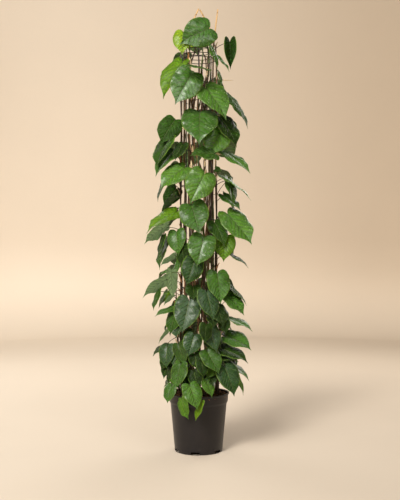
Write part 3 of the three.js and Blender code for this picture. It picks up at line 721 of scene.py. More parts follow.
def shadeLeafShows(leaf, turn):
    x, z = seenFrom(leaf.spots).T
    overSoil = (x > heavier["soilFrom"]) & (x < heavier["soilTo"]) & (z < heavier["soilTop"])
    if overSoil.any() and abs(turn) < heavier["soilTurn"]:
        return True  # the soil is seen here
    bare = [cell for cell in cellsOf(leaf.spots) if cell not in covered]
    beside = [cell for cell in bare if abs(cell[0]) > heavier["middle"]]
    return len(beside) > heavier["bare"] * len(leaf.spots)


drawShade = makeDraw(3301)
solidLeaves = len(leaves)
for i in range(heavier["count"]):
    for go in range(heavier["tries"]):
        turn = heavier["turn"] * (2 * drawShade() - 1)
        height = mix(heavier["first"], heavier["last"], drawShade())
        out = heavier["out"] + heavier["deeper"] * drawShade()
        leaf = hangingLeaf(drawShade, turn, height, heavier["size"], out)
        if not shadeLeafShows(leaf, turn) and seat(leaf, True):
            break
print("small leaves added:", len(leaves) - solidLeaves)

# Finishes: small helpers for node trees, then the groups that several materials share.


def addNode(tree, kind, inputs=(), **settings):
    node = tree.nodes.new(kind)
    for name, value in settings.items():
        setattr(node, name, value)
    for key, value in dict(inputs).items():
        if isinstance(value, bpy.types.NodeSocket):
            tree.links.new(value, node.inputs[key])
        else:
            node.inputs[key].default_value = value
    return node


def outputOf(tree, kind, inputs=(), **settings):
    return addNode(tree, kind, inputs, **settings).outputs[0]


def calc(tree, operation, a, b=0.0, c=0.0, clamp=False):
    return outputOf(tree, "ShaderNodeMath", {0: a, 1: b, 2: c}, operation=operation, use_clamp=clamp)


def times(tree, *factors):
    result = factors[0]
    for factor in factors[1:]:
        result = calc(tree, "MULTIPLY", result, factor)
    return result


def total(tree, *terms):
    result = terms[0]
    for term in terms[1:]:
        result = calc(tree, "ADD", result, term)
    return result


def less(tree, a, b, clamp=False):
    return calc(tree, "SUBTRACT", a, b, clamp=clamp)


def swayed(tree, value, amount, middle=0.0):
    return calc(tree, "MULTIPLY_ADD", less(tree, value, 0.5), amount, middle)


def vectorCalc(tree, operation, a, b):
    return outputOf(tree, "ShaderNodeVectorMath", {0: a, 1: b}, operation=operation)


def scaled(tree, vector, scale):
    return outputOf(tree, "ShaderNodeVectorMath", {0: vector, 3: scale}, operation="SCALE")


def ease(tree, value, low, high, to=(0.0, 1.0)):
    inputs = {0: value, 1: low, 2: high, 3: to[0], 4: to[1]}
    return outputOf(tree, "ShaderNodeMapRange", inputs, interpolation_type="SMOOTHSTEP")


def opaque(colour):
    return colour if isinstance(colour, bpy.types.NodeSocket) else (*colour, 1)


def blendColour(tree, factor, a, b):
    inputs = {0: factor, 6: opaque(a), 7: opaque(b)}
    return addNode(tree, "ShaderNodeMix", inputs, data_type="RGBA").outputs[2]


def noise(tree, vector, scale, detail=3.0, roughness=0.5):
    inputs = {"Vector": vector, "Scale": scale, "Detail": detail, "Roughness": roughness}
    return addNode(tree, "ShaderNodeTexNoise", inputs).outputs["Fac"]


def rampOf(tree, value, stops):
    node = addNode(tree, "ShaderNodeValToRGB", {0: value})
    ramp = node.color_ramp
    while len(ramp.elements) < len(stops):
        ramp.elements.new(0.5)
    for element, (at, colour) in zip(ramp.elements, stops):
        element.position = at
        element.color = opaque(colour)
    return node.outputs["Color"]


def readAttribute(tree, name):
    return addNode(tree, "ShaderNodeAttribute", attribute_name=name, attribute_type="GEOMETRY").outputs["Fac"]


def newTree(name, kind, inputs, outputs):
    tree = bpy.data.node_groups.new(name, kind)
    for label, socketType, value in inputs:
        socket = tree.interface.new_socket(label, in_out="INPUT", socket_type="NodeSocket" + socketType)
        if value is not None:
            socket.default_value = value
    for label, socketType in outputs:
        tree.interface.new_socket(label, in_out="OUTPUT", socket_type="NodeSocket" + socketType)
    return tree, tree.nodes.new("NodeGroupInput").outputs, tree.nodes.new("NodeGroupOutput").inputs


def newGroup(name, inputs, outputs):
    return newTree(name, "ShaderNodeTree", inputs, [(label, "Float") for label in outputs])


def useGroup(tree, group, inputs):
    return addNode(tree, "ShaderNodeGroup", inputs, node_tree=group).outputs


# Veins of a heart-shaped blade from its own flat map: u runs across the blade, v from junction to tip.
def makeVeinGroup():
    tree, given, out = newGroup("bladeVeins", [
        ("Map", "Vector", None), ("Spacing", "Float", 0.15), ("Vein Width", "Float", 0.016),
        ("Seed", "Float", 0.0)], ["Midrib", "Veins", "Relief"])
    across, along = addNode(tree, "ShaderNodeSeparateXYZ", {0: given["Map"]}).outputs[:2]
    side = calc(tree, "ABSOLUTE", calc(tree, "MULTIPLY_ADD", across, 2.0, -1.0))
    midWidth = times(tree, ease(tree, along, 0.0, 1.0, (1.0, 0.45)), 0.034)
    midrib = less(tree, 1.0, calc(tree, "DIVIDE", side, midWidth), clamp=True)
    waver = swayed(tree, noise(tree, vectorCalc(tree, "ADD", given["Map"], given["Seed"]), 3.0, 2.0), 0.17)
    forward = total(tree, times(tree, side, 0.34), times(tree, side, side, 0.17))
    field = total(tree, less(tree, along, forward), waver)
    ray = times(tree, calc(tree, "ARCTAN2", along, times(tree, side, 0.45)), 0.26)
    basal = ease(tree, field, -0.04, 0.04)
    lines = total(tree, times(tree, field, basal), times(tree, ray, less(tree, 1.0, basal)))
    phase = calc(tree, "DIVIDE", lines, given["Spacing"])
    apart = less(tree, 0.5, calc(tree, "ABSOLUTE", less(tree, calc(tree, "FRACT", phase), 0.5)))
    share = calc(tree, "DIVIDE", given["Vein Width"], given["Spacing"])
    veins = less(tree, 1.0, calc(tree, "DIVIDE", apart, share), clamp=True)
    swell = times(tree, calc(tree, "POWER", times(tree, apart, 2.0), 0.6),
                  ease(tree, side, 0.25, 1.0, (0.6, 0.2)))
    tree.links.new(midrib, out["Midrib"])
    tree.links.new(times(tree, veins, ease(tree, side, 0.55, 1.0, (1.0, 0.25))), out["Veins"])
    tree.links.new(less(tree, swell, times(tree, midrib, 0.8)), out["Relief"])
    return tree


# Uneven tone at two scales, for anything grown, moulded or worn.
def makeMottleGroup():
    tree, given, out = newGroup("mottle", [
        ("Vector", "Vector", None), ("Broad", "Float", 20.0), ("Fine", "Float", 300.0),
        ("Strength", "Float", 0.3)], ["Tone", "Grain"])
    broad = noise(tree, given["Vector"], given["Broad"])
    fine = noise(tree, given["Vector"], given["Fine"], 4.0, 0.6)
    both = total(tree, times(tree, broad, 0.65), times(tree, fine, 0.35))
    tree.links.new(swayed(tree, both, given["Strength"], 1.0), out["Tone"])
    tree.links.new(fine, out["Grain"])
    return tree


# Dust that lies on faces that look up and in broad patches.
def makeDustGroup():
    tree, given, out = newGroup("settledDust", [
        ("Vector", "Vector", None), ("Amount", "Float", 0.3), ("Scale", "Float", 25.0)], ["Dust"])
    normal = addNode(tree, "ShaderNodeNewGeometry").outputs["Normal"]
    upward = addNode(tree, "ShaderNodeSeparateXYZ", {0: normal}).outputs[2]
    facing = ease(tree, upward, -0.2, 1.0, (0.15, 1.0))
    patches = ease(tree, noise(tree, given["Vector"], given["Scale"], 5.0, 0.65), 0.4, 0.75)
    dust = calc(tree, "MULTIPLY", times(tree, facing, patches), given["Amount"], clamp=True)
    tree.links.new(dust, out["Dust"])
    return tree


bladeVeins = makeVeinGroup()
mottle = makeMottleGroup()
settledDust = makeDustGroup()


def newMaterial(name, **sockets):
    material = bpy.data.materials.new(name)
    material.use_nodes = True
    tree = material.node_tree
    shader = tree.nodes["Principled BSDF"]
    for label, value in sockets.items():
        shader.inputs[label.replace("_", " ")].default_value = value
    where = addNode(tree, "ShaderNodeTexCoord").outputs["Object"]
    return material, tree, shader, where


def mottled(tree, where, broad, fine, strength):
    made = useGroup(tree, mottle, {"Vector": where, "Broad": broad, "Fine": fine, "Strength": strength})
    return made["Tone"], made["Grain"]


def dustOn(tree, where, amount, scale):
    return useGroup(tree, settledDust, {"Vector": where, "Amount": amount, "Scale": scale})["Dust"]


def roughBy(tree, grain, low, high):
    return ease(tree, grain, 0.2, 0.8, (low, high))


def dress(tree, shader, colour, rough, height, distance, strength=1.0):
    bump = outputOf(tree, "ShaderNodeBump", {"Height": height, "Distance": distance, "Strength": strength})
    for value, label in ((colour, "Base Color"), (rough, "Roughness"), (bump, "Normal")):
        tree.links.new(value, shader.inputs[label])


# Leaf colours: the bluish stop at 0 holds a painted sheen as well as old leaf colour, and the darkest stops,
# 0.1 and 0.2, hold painted shade for the leaves that hang in shade.
leafColours = {
    "tones": [(0.0, (0.030, 0.064, 0.026)), (0.1, (0.018, 0.046, 0.010)), (0.2, (0.009, 0.022, 0.001)),
              (0.34, (0.024, 0.066, 0.005)), (0.46, (0.040, 0.106, 0.012)), (0.6, (0.058, 0.142, 0.014)),
              (0.8, (0.086, 0.166, 0.003)), (1.0, (0.185, 0.285, 0.004))],
    "underside": (0.175, 0.225, 0.115), "margin": (0.150, 0.260, 0.030), "vein": (0.220, 0.330, 0.130),
    "ribShadowUnder": (0.0, 0.0, 0.0),
}


def makeLeafMaterial():
    material, tree, shader, where = newMaterial(
        "leafSurface", Specular_IOR_Level=0.1, Coat_Roughness=0.28, Subsurface_Weight=0.16,
        Subsurface_Radius=(0.5, 1.0, 0.12), Subsurface_Scale=0.003, Emission_Strength=1.0)
    names = ("leafTone", "leafGloss", "leafMargin", "leafVeins", "leafSeed", "toMargin", "underside")
    tone, gloss, pale, veined, seed, rim, under = (readAttribute(tree, name) for name in names)
    flatMap = addNode(tree, "ShaderNodeUVMap", uv_map="bladeMap").outputs["UV"]
    veins = useGroup(tree, bladeVeins, {"Map": flatMap, "Seed": seed})
    patch, grain = mottled(tree, where, 60.0, 420.0, 0.8)
    shifted = swayed(tree, noise(tree, where, 26.0, 2.0), 0.26, tone)
    colour = rampOf(tree, shifted, leafColours["tones"])
    band = times(tree, ease(tree, rim, 0.84, 1.0), pale, 0.85)
    colour = blendColour(tree, band, colour, leafColours["margin"])
    # Vein lines: pale on the top; on the underside stronger and black, as painted shade along the raised
    # ribs.
    branches = times(tree, veins["Veins"], calc(tree, "MULTIPLY_ADD", under, 0.4, 0.42))
    lines = calc(tree, "MAXIMUM", times(tree, veins["Midrib"], 0.95), branches)
    paleVeinAndRibShadow = blendColour(tree, under, leafColours["vein"], leafColours["ribShadowUnder"])
    colour = blendColour(tree, times(tree, lines, veined), colour, paleVeinAndRibShadow)
    colour = blendColour(tree, under, colour, blendColour(tree, 0.3, leafColours["underside"], colour))
    # Random mottle, times painted shade in the vein grooves and along the midrib and painted light on the
    # swells between them.
    mottleAndQuiltShade = times(tree, patch, ease(tree, veins["Relief"], -0.2, 0.6, (0.55, 1.2)))
    colour = scaled(tree, colour, mottleAndQuiltShade)
    # Painted light: the underside glows through its emission, as if lit through the blade from behind.
    undersideGlow = times(tree, under, ease(tree, veined, 0.9, 1.0, (0.08, 0.66)))  # light through the blade
    tree.links.new(scaled(tree, colour, undersideGlow), shader.inputs["Emission Color"])
    dull = ease(tree, gloss, 0.0, 1.0, (0.52, 0.34))
    uneven = total(tree, dull, swayed(tree, grain, 0.22))
    rough = calc(tree, "ADD", uneven, times(tree, under, 0.18), clamp=True)
    coat = times(tree, ease(tree, gloss, 0.0, 1.0, (0.0, 0.7)), less(tree, 1.0, under))
    tree.links.new(coat, shader.inputs["Coat Weight"])
    lumps = times(tree, noise(tree, where, 75.0, 2.0), 1.6)
    relief = total(tree, veins["Relief"], times(tree, grain, 0.25), lumps)
    dress(tree, shader, colour, rough, relief, 0.0036)
    return material


def makeStemMaterial():
    material, tree, shader, where = newMaterial("stemBark", Specular_IOR_Level=0.35)
    patch, grain = mottled(tree, where, 30.0, 700.0, 0.9)
    young = readAttribute(tree, "young")
    colour = rampOf(tree, swayed(tree, noise(tree, where, 14.0, 2.0), 0.7, young), [
        (0.0, (0.010, 0.007, 0.006)), (0.35, (0.024, 0.015, 0.009)),
        (0.62, (0.040, 0.046, 0.013)), (1.0, (0.110, 0.170, 0.032))])
    bark = rampOf(tree, noise(tree, where, 60.0), [(0.3, (0.10, 0.042, 0.018)), (0.7, (0.40, 0.22, 0.105))])
    colour = blendColour(tree, readAttribute(tree, "dry"), colour, bark)
    dress(tree, shader, scaled(tree, colour, patch), roughBy(tree, grain, 0.42, 0.7), grain, 0.0005, 0.6)
    return material


def makePotMaterial():
    material, tree, shader, where = newMaterial("potPlastic", Specular_IOR_Level=0.38)
    patch, grain = mottled(tree, where, 9.0, 900.0, 0.35)
    dust = dustOn(tree, where, 0.13, 16.0)
    scuffs = noise(tree, vectorCalc(tree, "MULTIPLY", where, (9, 9, 260)), 1.6, 3.0, 0.7)
    rubbed = ease(tree, scuffs, 0.60, 0.78, (0.0, 0.3))
    colour = blendColour(tree, rubbed, (0.0078, 0.0064, 0.0070), (0.018, 0.016, 0.016))
    colour = blendColour(tree, dust, colour, (0.19, 0.155, 0.125))
    rough = calc(tree, "ADD", roughBy(tree, grain, 0.34, 0.48), times(tree, dust, 0.4), clamp=True)
    height = total(tree, grain, times(tree, scuffs, 0.4))
    dress(tree, shader, scaled(tree, colour, patch), rough, height, 0.0004, 0.5)
    return material


def makeSoilMaterial(name, fine, stops):
    material, tree, shader, where = newMaterial(name, Specular_IOR_Level=0.2)
    patch, grain = mottled(tree, where, 60.0, fine, 1.0)
    colour = rampOf(tree, noise(tree, where, 140.0, 4.0, 0.65), stops)
    dress(tree, shader, scaled(tree, colour, patch), roughBy(tree, grain, 0.8, 1.0), grain, 0.0015, 0.8)
    return material


def makeWireMaterial():
    material, tree, shader, where = newMaterial("wireCoating", Specular_IOR_Level=0.4)
    patch, grain = mottled(tree, where, 24.0, 900.0, 0.5)
    colour = rampOf(tree, noise(tree, where, 26.0), [
        (0.3, (0.012, 0.010, 0.009)), (0.62, (0.026, 0.021, 0.018)), (0.8, (0.060, 0.048, 0.040))])
    colour = blendColour(tree, dustOn(tree, where, 0.25, 40.0), colour, (0.16, 0.14, 0.12))
    dress(tree, shader, scaled(tree, colour, patch), roughBy(tree, grain, 0.38, 0.6), grain, 0.0002, 0.5)
    return material


def makeCaneMaterial():
    material, tree, shader, where = newMaterial("bambooSkin", Specular_IOR_Level=0.4)
    fibres = noise(tree, vectorCalc(tree, "MULTIPLY", where, (900, 900, 12)), 1.0, 3.0, 0.6)
    patch = mottled(tree, where, 16.0, 500.0, 0.6)[0]
    height = addNode(tree, "ShaderNodeSeparateXYZ", {0: where}).outputs[2]
    # Painted shade: below the top of the column, where the leaves shade them, the canes are darkened towards
    # deep brown.
    shadedInColumn = ease(tree, height, 1.58, 1.70, (0.8, 0.0))
    colour = rampOf(tree, fibres, [
        (0.25, (0.42, 0.23, 0.09)), (0.55, (0.60, 0.38, 0.16)), (0.8, (0.74, 0.53, 0.25))])
    colour = blendColour(tree, shadedInColumn, colour, (0.055, 0.036, 0.022))
    colour = blendColour(tree, times(tree, readAttribute(tree, "joint"), 0.7), colour, (0.10, 0.05, 0.02))
    dress(tree, shader, scaled(tree, colour, patch), roughBy(tree, fibres, 0.42, 0.62), fibres, 0.0003, 0.6)
    return material


def makeSheathMaterial():
    material, tree, shader, where = newMaterial("papery", Specular_IOR_Level=0.3)
    flatMap = addNode(tree, "ShaderNodeUVMap", uv_map="sheathMap").outputs["UV"]
    ribs = noise(tree, vectorCalc(tree, "MULTIPLY", flatMap, (26, 1.5, 1)), 1.0, 3.0, 0.6)
    light = rampOf(tree, ribs, [(0.25, (0.56, 0.39, 0.20)), (0.7, (0.86, 0.70, 0.46))])
    red = rampOf(tree, ribs, [(0.25, (0.34, 0.13, 0.045)), (0.7, (0.58, 0.28, 0.11))])
    colour = blendColour(tree, readAttribute(tree, "ruddy"), light, red)
    dress(tree, shader, colour, roughBy(tree, ribs, 0.55, 0.8), ribs, 0.0006, 0.8)
    return material


leafSurface = makeLeafMaterial()
stemBark = makeStemMaterial()
potPlastic = makePotMaterial()
soilDark = makeSoilMaterial("darkSoil", 600.0, [
    (0.25, (0.018, 0.010, 0.006)), (0.5, (0.050, 0.028, 0.015)), (0.75, (0.110, 0.058, 0.028))])
barkRed = makeSoilMaterial("redBark", 800.0, [
    (0.25, (0.15, 0.055, 0.018)), (0.5, (0.34, 0.14, 0.05)), (0.75, (0.52, 0.27, 0.11))])
wireCoating = makeWireMaterial()
bambooSkin = makeCaneMaterial()
papery = makeSheathMaterial()
print("materials made")


# Meshes from numpy arrays, with their own point attributes.
def meshObject(name, points, faces, edges=(), attributes=()):
    mesh = bpy.data.meshes.new(name)
    mesh.from_pydata([tuple(p) for p in np.asarray(points) * mm], list(edges), [tuple(f) for f in faces])
    for label, values in dict(attributes).items():
        values = np.asarray(values, np.float32)
        kind = "FLOAT_VECTOR" if values.ndim == 2 else "FLOAT"
        layer = mesh.attributes.new(label, kind, "POINT")
        layer.data.foreach_set("vector" if values.ndim == 2 else "value", values.ravel())
    mesh.update()
    return linked(name, mesh)


def linked(name, data):
    made = bpy.data.objects.new(name, data)
    bpy.context.scene.collection.objects.link(made)
    return made


def addMap(made, label, spots):
    corners = np.zeros(len(made.data.loops), np.int32)
    made.data.loops.foreach_get("vertex_index", corners)
    made.data.uv_layers.new(name=label).data.foreach_set("uv", np.asarray(spots)[corners].ravel())


# The modifier's result becomes the object's own plain mesh.
def applied(made, modifier):
    depsgraph = bpy.context.evaluated_depsgraph_get()
    mesh = bpy.data.meshes.new_from_object(made.evaluated_get(depsgraph), depsgraph=depsgraph)
    made.modifiers.remove(modifier)
    mesh.name = made.name
    made.data = mesh
    return made


def grow(source, tree, values):
    modifier = source.modifiers.new("grow", "NODES")
    modifier.node_group = tree
    for item in tree.interface.items_tree:
        if item.item_type == "SOCKET" and item.in_out == "INPUT" and item.name in values:
            modifier[item.identifier] = values[item.name]
    return applied(source, modifier)


# Geometry trees all end alike: real geometry, its shading and its material.
def closeTree(tree, out, geometry, finish, smooth=True):
    real = outputOf(tree, "GeometryNodeRealizeInstances", {"Geometry": geometry})
    shaded = outputOf(tree, "GeometryNodeSetShadeSmooth", {"Geometry": real, "Shade Smooth": smooth})
    done = outputOf(tree, "GeometryNodeSetMaterial", {"Geometry": shaded, "Material": finish})
    tree.links.new(done, out[0])
    return tree


def newGeometryTree(name, inputs):
    given = [("Geometry", "Geometry", None), *inputs, ("Finish", "Material", None)]
    return newTree(name, "GeometryNodeTree", given, [("Geometry", "Geometry")])


def placedOn(tree, points, instance, **more):
    return outputOf(tree, "GeometryNodeInstanceOnPoints", {"Points": points, "Instance": instance, **more})


def upBy(tree, height):
    return outputOf(tree, "ShaderNodeCombineXYZ", {2: height})


def settle(piece, slot, *nodes):
    if nodes:
        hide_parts(*nodes)
    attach(piece, "root")
    return piece


# Camera where the photograph was taken from.
cameraData = bpy.data.cameras.new("photoCamera")
cameraData.sensor_width = eye["sensor"]
cameraData.lens = eye["lens"]
camera = linked("photoCamera", cameraData)
camera.location = (eye["across"] * mm, -eye["distance"] * mm, eye["height"] * mm)
camera.rotation_euler = (math.radians(90), 0, 0)
bpy.context.scene.camera = camera


# Pot: one turned shell with softened corners and six drainage notches cut through its foot.
def softened(profile, radius, steps=4):
    line = [profile[0]]
    for before, corner, after in zip(profile, profile[1:], profile[2:]):
        corner = np.array(corner, float)
        a = np.array(before, float) - corner
        b = np.array(after, float) - corner
        reach = min(radius, 0.4 * math.hypot(*a), 0.4 * math.hypot(*b))
        start = corner + a / math.hypot(*a) * reach
        end = corner + b / math.hypot(*b) * reach
        for k in range(steps + 1):
            t = k / steps
            line.append(tuple(start * (1 - t) ** 2 + corner * (2 * t * (1 - t)) + end * t * t))
    line.append(profile[-1])
    return line


def turnedMesh(name, profile, sides):
    points = []
    rings = []
    for r, z in profile:
        if r < 1e-6:
            rings.append([len(points)] * sides)
            points.append((0, 0, z))
        else:
            rings.append(list(range(len(points), len(points) + sides)))
            turns = 2 * np.pi * np.arange(sides) / sides
            points += [(r * math.cos(t), r * math.sin(t), z) for t in turns]
    faces = []
    for low, high in zip(rings, rings[1:]):
        for k in range(sides):
            n = (k + 1) % sides
            face = [low[k], low[n], high[n], high[k]]
            faces.append([c for i, c in enumerate(face) if c not in face[:i]])
    return meshObject(name, points, faces)


def outwardFaces(made, crease=None):
    work = bmesh.new()
    work.from_mesh(made.data)
    if crease is not None:
        bmesh.ops.remove_doubles(work, verts=work.verts, dist=1e-6)
    bmesh.ops.recalc_face_normals(work, faces=work.faces)
    work.to_mesh(made.data)
    work.free()
    made.data.shade_smooth()
    if crease is not None:
        made.data.set_sharp_from_angle(angle=crease)


def insideWall(radius, gap=0):
    return radius - pot["wall"] - gap


def makeNotchCutters():
    cutters = bmesh.new()
    size = [pot[side] * mm for side in ("notchWidth", "notchDepth", "notchHeight")]
    for i in range(pot["notches"]):
        box = bmesh.ops.create_cube(cutters, size=1)["verts"]
        bmesh.ops.scale(cutters, verts=box, vec=size)
        middle = place(0, 3 - pot["footRadius"], pot["notchMiddle"]) * mm
        bmesh.ops.translate(cutters, verts=box, vec=middle)
        turn = math.radians(pot["notchTurn"] + 360 * i / pot["notches"])
        for corner in box:
            corner.co = turnedAbout(corner.co, turn)
    bmesh.ops.bevel(cutters, geom=cutters.edges[:], offset=pot["notchRound"] * mm, segments=3, affect="EDGES")
    mesh = bpy.data.meshes.new("notches")
    cutters.to_mesh(mesh)
    cutters.free()
    return linked("notches", mesh)


def makePot():
    rim, band, step, foot = (pot[name] for name in ("rimRadius", "bandRadius", "stepRadius", "footRadius"))
    made = turnedMesh("nursery_pot", softened([
        (0, 0), (pot["padRadius"], 0), (pot["padRadius"], pot["floorUnder"]), (foot - 6.5, pot["floorUnder"]),
        (foot - 5.5, 0), (foot - 2.5, 0), (foot, 4), (step, pot["stepTop"]), (band - 1.5, pot["bandFoot"]),
        (band, pot["height"] - 7), (rim, pot["height"] - 5.5), (rim, pot["height"]),
        (insideWall(rim) - 1, pot["height"]), (insideWall(band - 1.5), pot["bandFoot"]),
        (insideWall(step), pot["stepTop"] - 2), (insideWall(foot), pot["floorTop"]), (0, pot["floorTop"]),
    ], pot["softCorner"]), pot["sides"])
    outwardFaces(made, pot["crease"])
    cutter = makeNotchCutters()
    cut = made.modifiers.new("notches", "BOOLEAN")
    cut.object = cutter
    cut.operation = "DIFFERENCE"
    cut.solver = "EXACT"
    applied(made, cut)
    bpy.data.objects.remove(cutter)
    outwardFaces(made, pot["crease"])
    made.data.materials.clear()
    made.data.materials.append(potPlastic)
    return settle(made, "pot_plastic", "pot")


makePot()
print("pot made")


# Soil: fills the pot just clear of its wall. Its uneven top is strewn with crumbs and bark chips.
def makeSoilBody():
    gap, floor = soil["gap"], pot["floorTop"] + soil["gap"]
    share = (soil["edge"] - pot["bandFoot"]) / (pot["height"] - pot["bandFoot"])
    lower = insideWall(pot["bandRadius"] - 1.5, gap)
    edge = mix(lower, insideWall(pot["rimRadius"], gap) - 1, share)
    profile = [(0, floor), (insideWall(pot["footRadius"], gap), floor),
               (insideWall(pot["stepRadius"], gap), pot["stepTop"] - 2), (lower, pot["bandFoot"]),
               (edge, soil["edge"] - 1)]
    for k in range(1, soil["rings"] + 1):
        r = edge * (1 - k / soil["rings"])
        sunk = soil["fall"] * max(0, (r - soil["level"]) / (edge - soil["level"]))
        profile.append((r, soil["middle"] - 1 - sunk))
    made = turnedMesh("soil_body", profile, soil["sides"])
    draw = makeDraw(77)
    waves = [(0.02 + 0.10 * draw(), 6.3 * draw(), 6.3 * draw()) for k in range(soil["waves"])]
    for corner in made.data.vertices:
        x, y, z = (c / mm for c in corner.co)
        if z > soil["edge"] - 2 and math.hypot(x, y) < edge - 1:
            lift = sum(math.sin(often * (x * math.cos(turn) + y * math.sin(turn)) + phase)
                       for often, turn, phase in waves)
            corner.co.z += soil["unevenness"] * lift * mm
    outwardFaces(made, soil["crease"])
    made.data.materials.append(soilDark)
    return made


# One chip, bent a little out of true by noise, put down on points strewn over the upward faces.
def makeStrewTree():
    tree, g, out = newGeometryTree("strewOver", [
        ("Density", "Float", 1000.0), ("Size", "Float", 0.003), ("Flatness", "Float", 0.5),
        ("Stretch", "Float", 1.5), ("Sink", "Float", 0.0), ("Seed", "Int", 1)])
    normal = outputOf(tree, "GeometryNodeInputNormal")
    at = outputOf(tree, "GeometryNodeInputPosition")
    lift = addNode(tree, "ShaderNodeSeparateXYZ", {0: normal}).outputs[2]
    height = addNode(tree, "ShaderNodeSeparateXYZ", {0: at}).outputs[2]
    upward = outputOf(tree, "FunctionNodeCompare", {0: lift, 1: 0.6}, operation="GREATER_THAN")
    high = outputOf(tree, "FunctionNodeCompare", {0: height, 1: 0.2}, operation="GREATER_THAN")
    both = outputOf(tree, "FunctionNodeBooleanMath", {0: upward, 1: high}, operation="AND")
    points = outputOf(tree, "GeometryNodeDistributePointsOnFaces", {
        "Mesh": g["Geometry"], "Selection": both, "Density": g["Density"], "Seed": g["Seed"]})
    chip = outputOf(tree, "GeometryNodeMeshIcoSphere", {"Radius": 1.0, "Subdivisions": 1})
    spin = addNode(tree, "FunctionNodeRandomValue", {"Seed": g["Seed"]}, data_type="FLOAT_VECTOR")
    spin.inputs[0].default_value = (-0.5, -0.5, 0)
    spin.inputs[1].default_value = (0.5, 0.5, 6.28)
    size = addNode(tree, "FunctionNodeRandomValue", {2: 0.45, 3: 1.3, "Seed": g["Seed"]}, data_type="FLOAT")
    shape = outputOf(tree, "ShaderNodeCombineXYZ", {0: g["Stretch"], 1: 1.0, 2: g["Flatness"]})
    scale = scaled(tree, shape, times(tree, size.outputs[1], g["Size"]))
    real = outputOf(tree, "GeometryNodeRealizeInstances", {
        "Geometry": placedOn(tree, points, chip, Rotation=spin.outputs[0], Scale=scale)})
    bent = addNode(tree, "ShaderNodeTexNoise", {"Vector": at, "Scale": 260.0, "Detail": 1.0}).outputs["Color"]
    push = scaled(tree, vectorCalc(tree, "SUBTRACT", bent, (0.5, 0.5, 0.5)), times(tree, g["Size"], 1.6))
    sunk = vectorCalc(tree, "ADD", push, upBy(tree, times(tree, g["Sink"], -1.0)))
    moved = outputOf(tree, "GeometryNodeSetPosition", {"Geometry": real, "Offset": sunk})
    return closeTree(tree, out, moved, g["Finish"], smooth=False)


strewOver = makeStrewTree()
soilBody = makeSoilBody()
strewings = {
    "soil_crumbs": {"Density": 42000, "Size": 1.9 * mm, "Flatness": 0.8, "Stretch": 1.2, "Seed": 5,
                    "Finish": soilDark},
    "bark_chips": {"Density": 17000, "Size": 3.4 * mm, "Flatness": 0.42, "Stretch": 1.9, "Seed": 11,
                   "Finish": barkRed},
}
for name, look in strewings.items():
    piece = grow(linked(name, soilBody.data.copy()), strewOver, {**look, "Sink": 0.25 * look["Size"]})
    settle(piece, "potting_soil")
    print(name, "made, faces:", len(piece.data.polygons))
settle(soilBody, "potting_soil", "soil")


# Column: upright wires, rings and ties of round wire, with a small bead of weld at each crossing.
def makeColumnTree():
    tree, g, out = newGeometryTree("wireColumn", [
        ("Radius", "Float", 0.07), ("Wire Radius", "Float", 0.0015), ("Foot", "Float", 0.06),
        ("Top", "Float", 1.6), ("Uprights", "Int", 8), ("Rings", "Int", 10), ("First Ring", "Float", 0.38),
        ("Ring Step", "Float", 0.135), ("Ties", "Int", 2), ("First Tie", "Float", 1.56),
        ("Tie Step", "Float", 0.015), ("Weld", "Float", 0.002)])
    section = outputOf(tree, "GeometryNodeCurvePrimitiveCircle", {
        "Resolution": 10, "Radius": g["Wire Radius"]})
    corners = outputOf(tree, "GeometryNodeMeshCircle", {"Vertices": g["Uprights"], "Radius": g["Radius"]})
    foot = upBy(tree, g["Foot"])
    feet = outputOf(tree, "GeometryNodeTransform", {"Geometry": corners, "Translation": foot})
    top = upBy(tree, less(tree, g["Top"], g["Foot"]))
    upright = outputOf(tree, "GeometryNodeCurvePrimitiveLine", {"Start": (0, 0, 0), "End": top})
    rod = outputOf(tree, "GeometryNodeCurveToMesh", {
        "Curve": upright, "Profile Curve": section, "Fill Caps": True})
    hoop = outputOf(tree, "GeometryNodeCurvePrimitiveCircle", {"Resolution": 96, "Radius": g["Radius"]})
    ring = outputOf(tree, "GeometryNodeCurveToMesh", {"Curve": hoop, "Profile Curve": section})

    def levels(count, first, step):
        return outputOf(tree, "GeometryNodeMeshLine", {
            "Count": g[count], "Start Location": upBy(tree, g[first]), "Offset": upBy(tree, g[step])})

    ringLevels = levels("Rings", "First Ring", "Ring Step")
    bead = outputOf(tree, "GeometryNodeMeshUVSphere", {"Segments": 10, "Rings": 7, "Radius": g["Weld"]})
    joined = addNode(tree, "GeometryNodeJoinGeometry")
    for part in (placedOn(tree, feet, rod), placedOn(tree, ringLevels, ring),
                 placedOn(tree, levels("Ties", "First Tie", "Tie Step"), ring),
                 placedOn(tree, ringLevels, placedOn(tree, corners, bead))):
        tree.links.new(part, joined.inputs[0])
    return closeTree(tree, out, joined.outputs[0], g["Finish"])


def makeColumn():
    sizes = {
        "Radius": "radius", "Wire Radius": "wireRadius", "Foot": "foot", "Top": "top", "Weld": "weld",
        "First Ring": "firstRing", "Ring Step": "ringStep", "First Tie": "firstTie", "Tie Step": "tieStep",
    }
    values = {label: column[name] * mm for label, name in sizes.items()}
    values.update({"Uprights": column["wires"], "Rings": column["rings"], "Ties": column["ties"],
                   "Finish": wireCoating})
    made = grow(meshObject("wire_column", [(0, 0, 0)], []), makeColumnTree(), values)
    settle(made, "wire", "climbing_column")
    print("column made, faces:", len(made.data.polygons))


makeColumn()


# Round stalks from lines of points: each point has its own radius.
def makeStalkTree():
    tree, g, out = newGeometryTree("stalks", [("Sides", "Int", 8)])
    curve = outputOf(tree, "GeometryNodeMeshToCurve", {"Mesh": g["Geometry"]})
    thick = outputOf(tree, "GeometryNodeInputNamedAttribute", {"Name": "thick"}, data_type="FLOAT")
    section = outputOf(tree, "GeometryNodeCurvePrimitiveCircle", {"Resolution": g["Sides"], "Radius": 1.0})
    tube = outputOf(tree, "GeometryNodeCurveToMesh", {
        "Curve": curve, "Profile Curve": section, "Scale": thick, "Fill Caps": True})
    return closeTree(tree, out, tube, g["Finish"])


stalks = makeStalkTree()


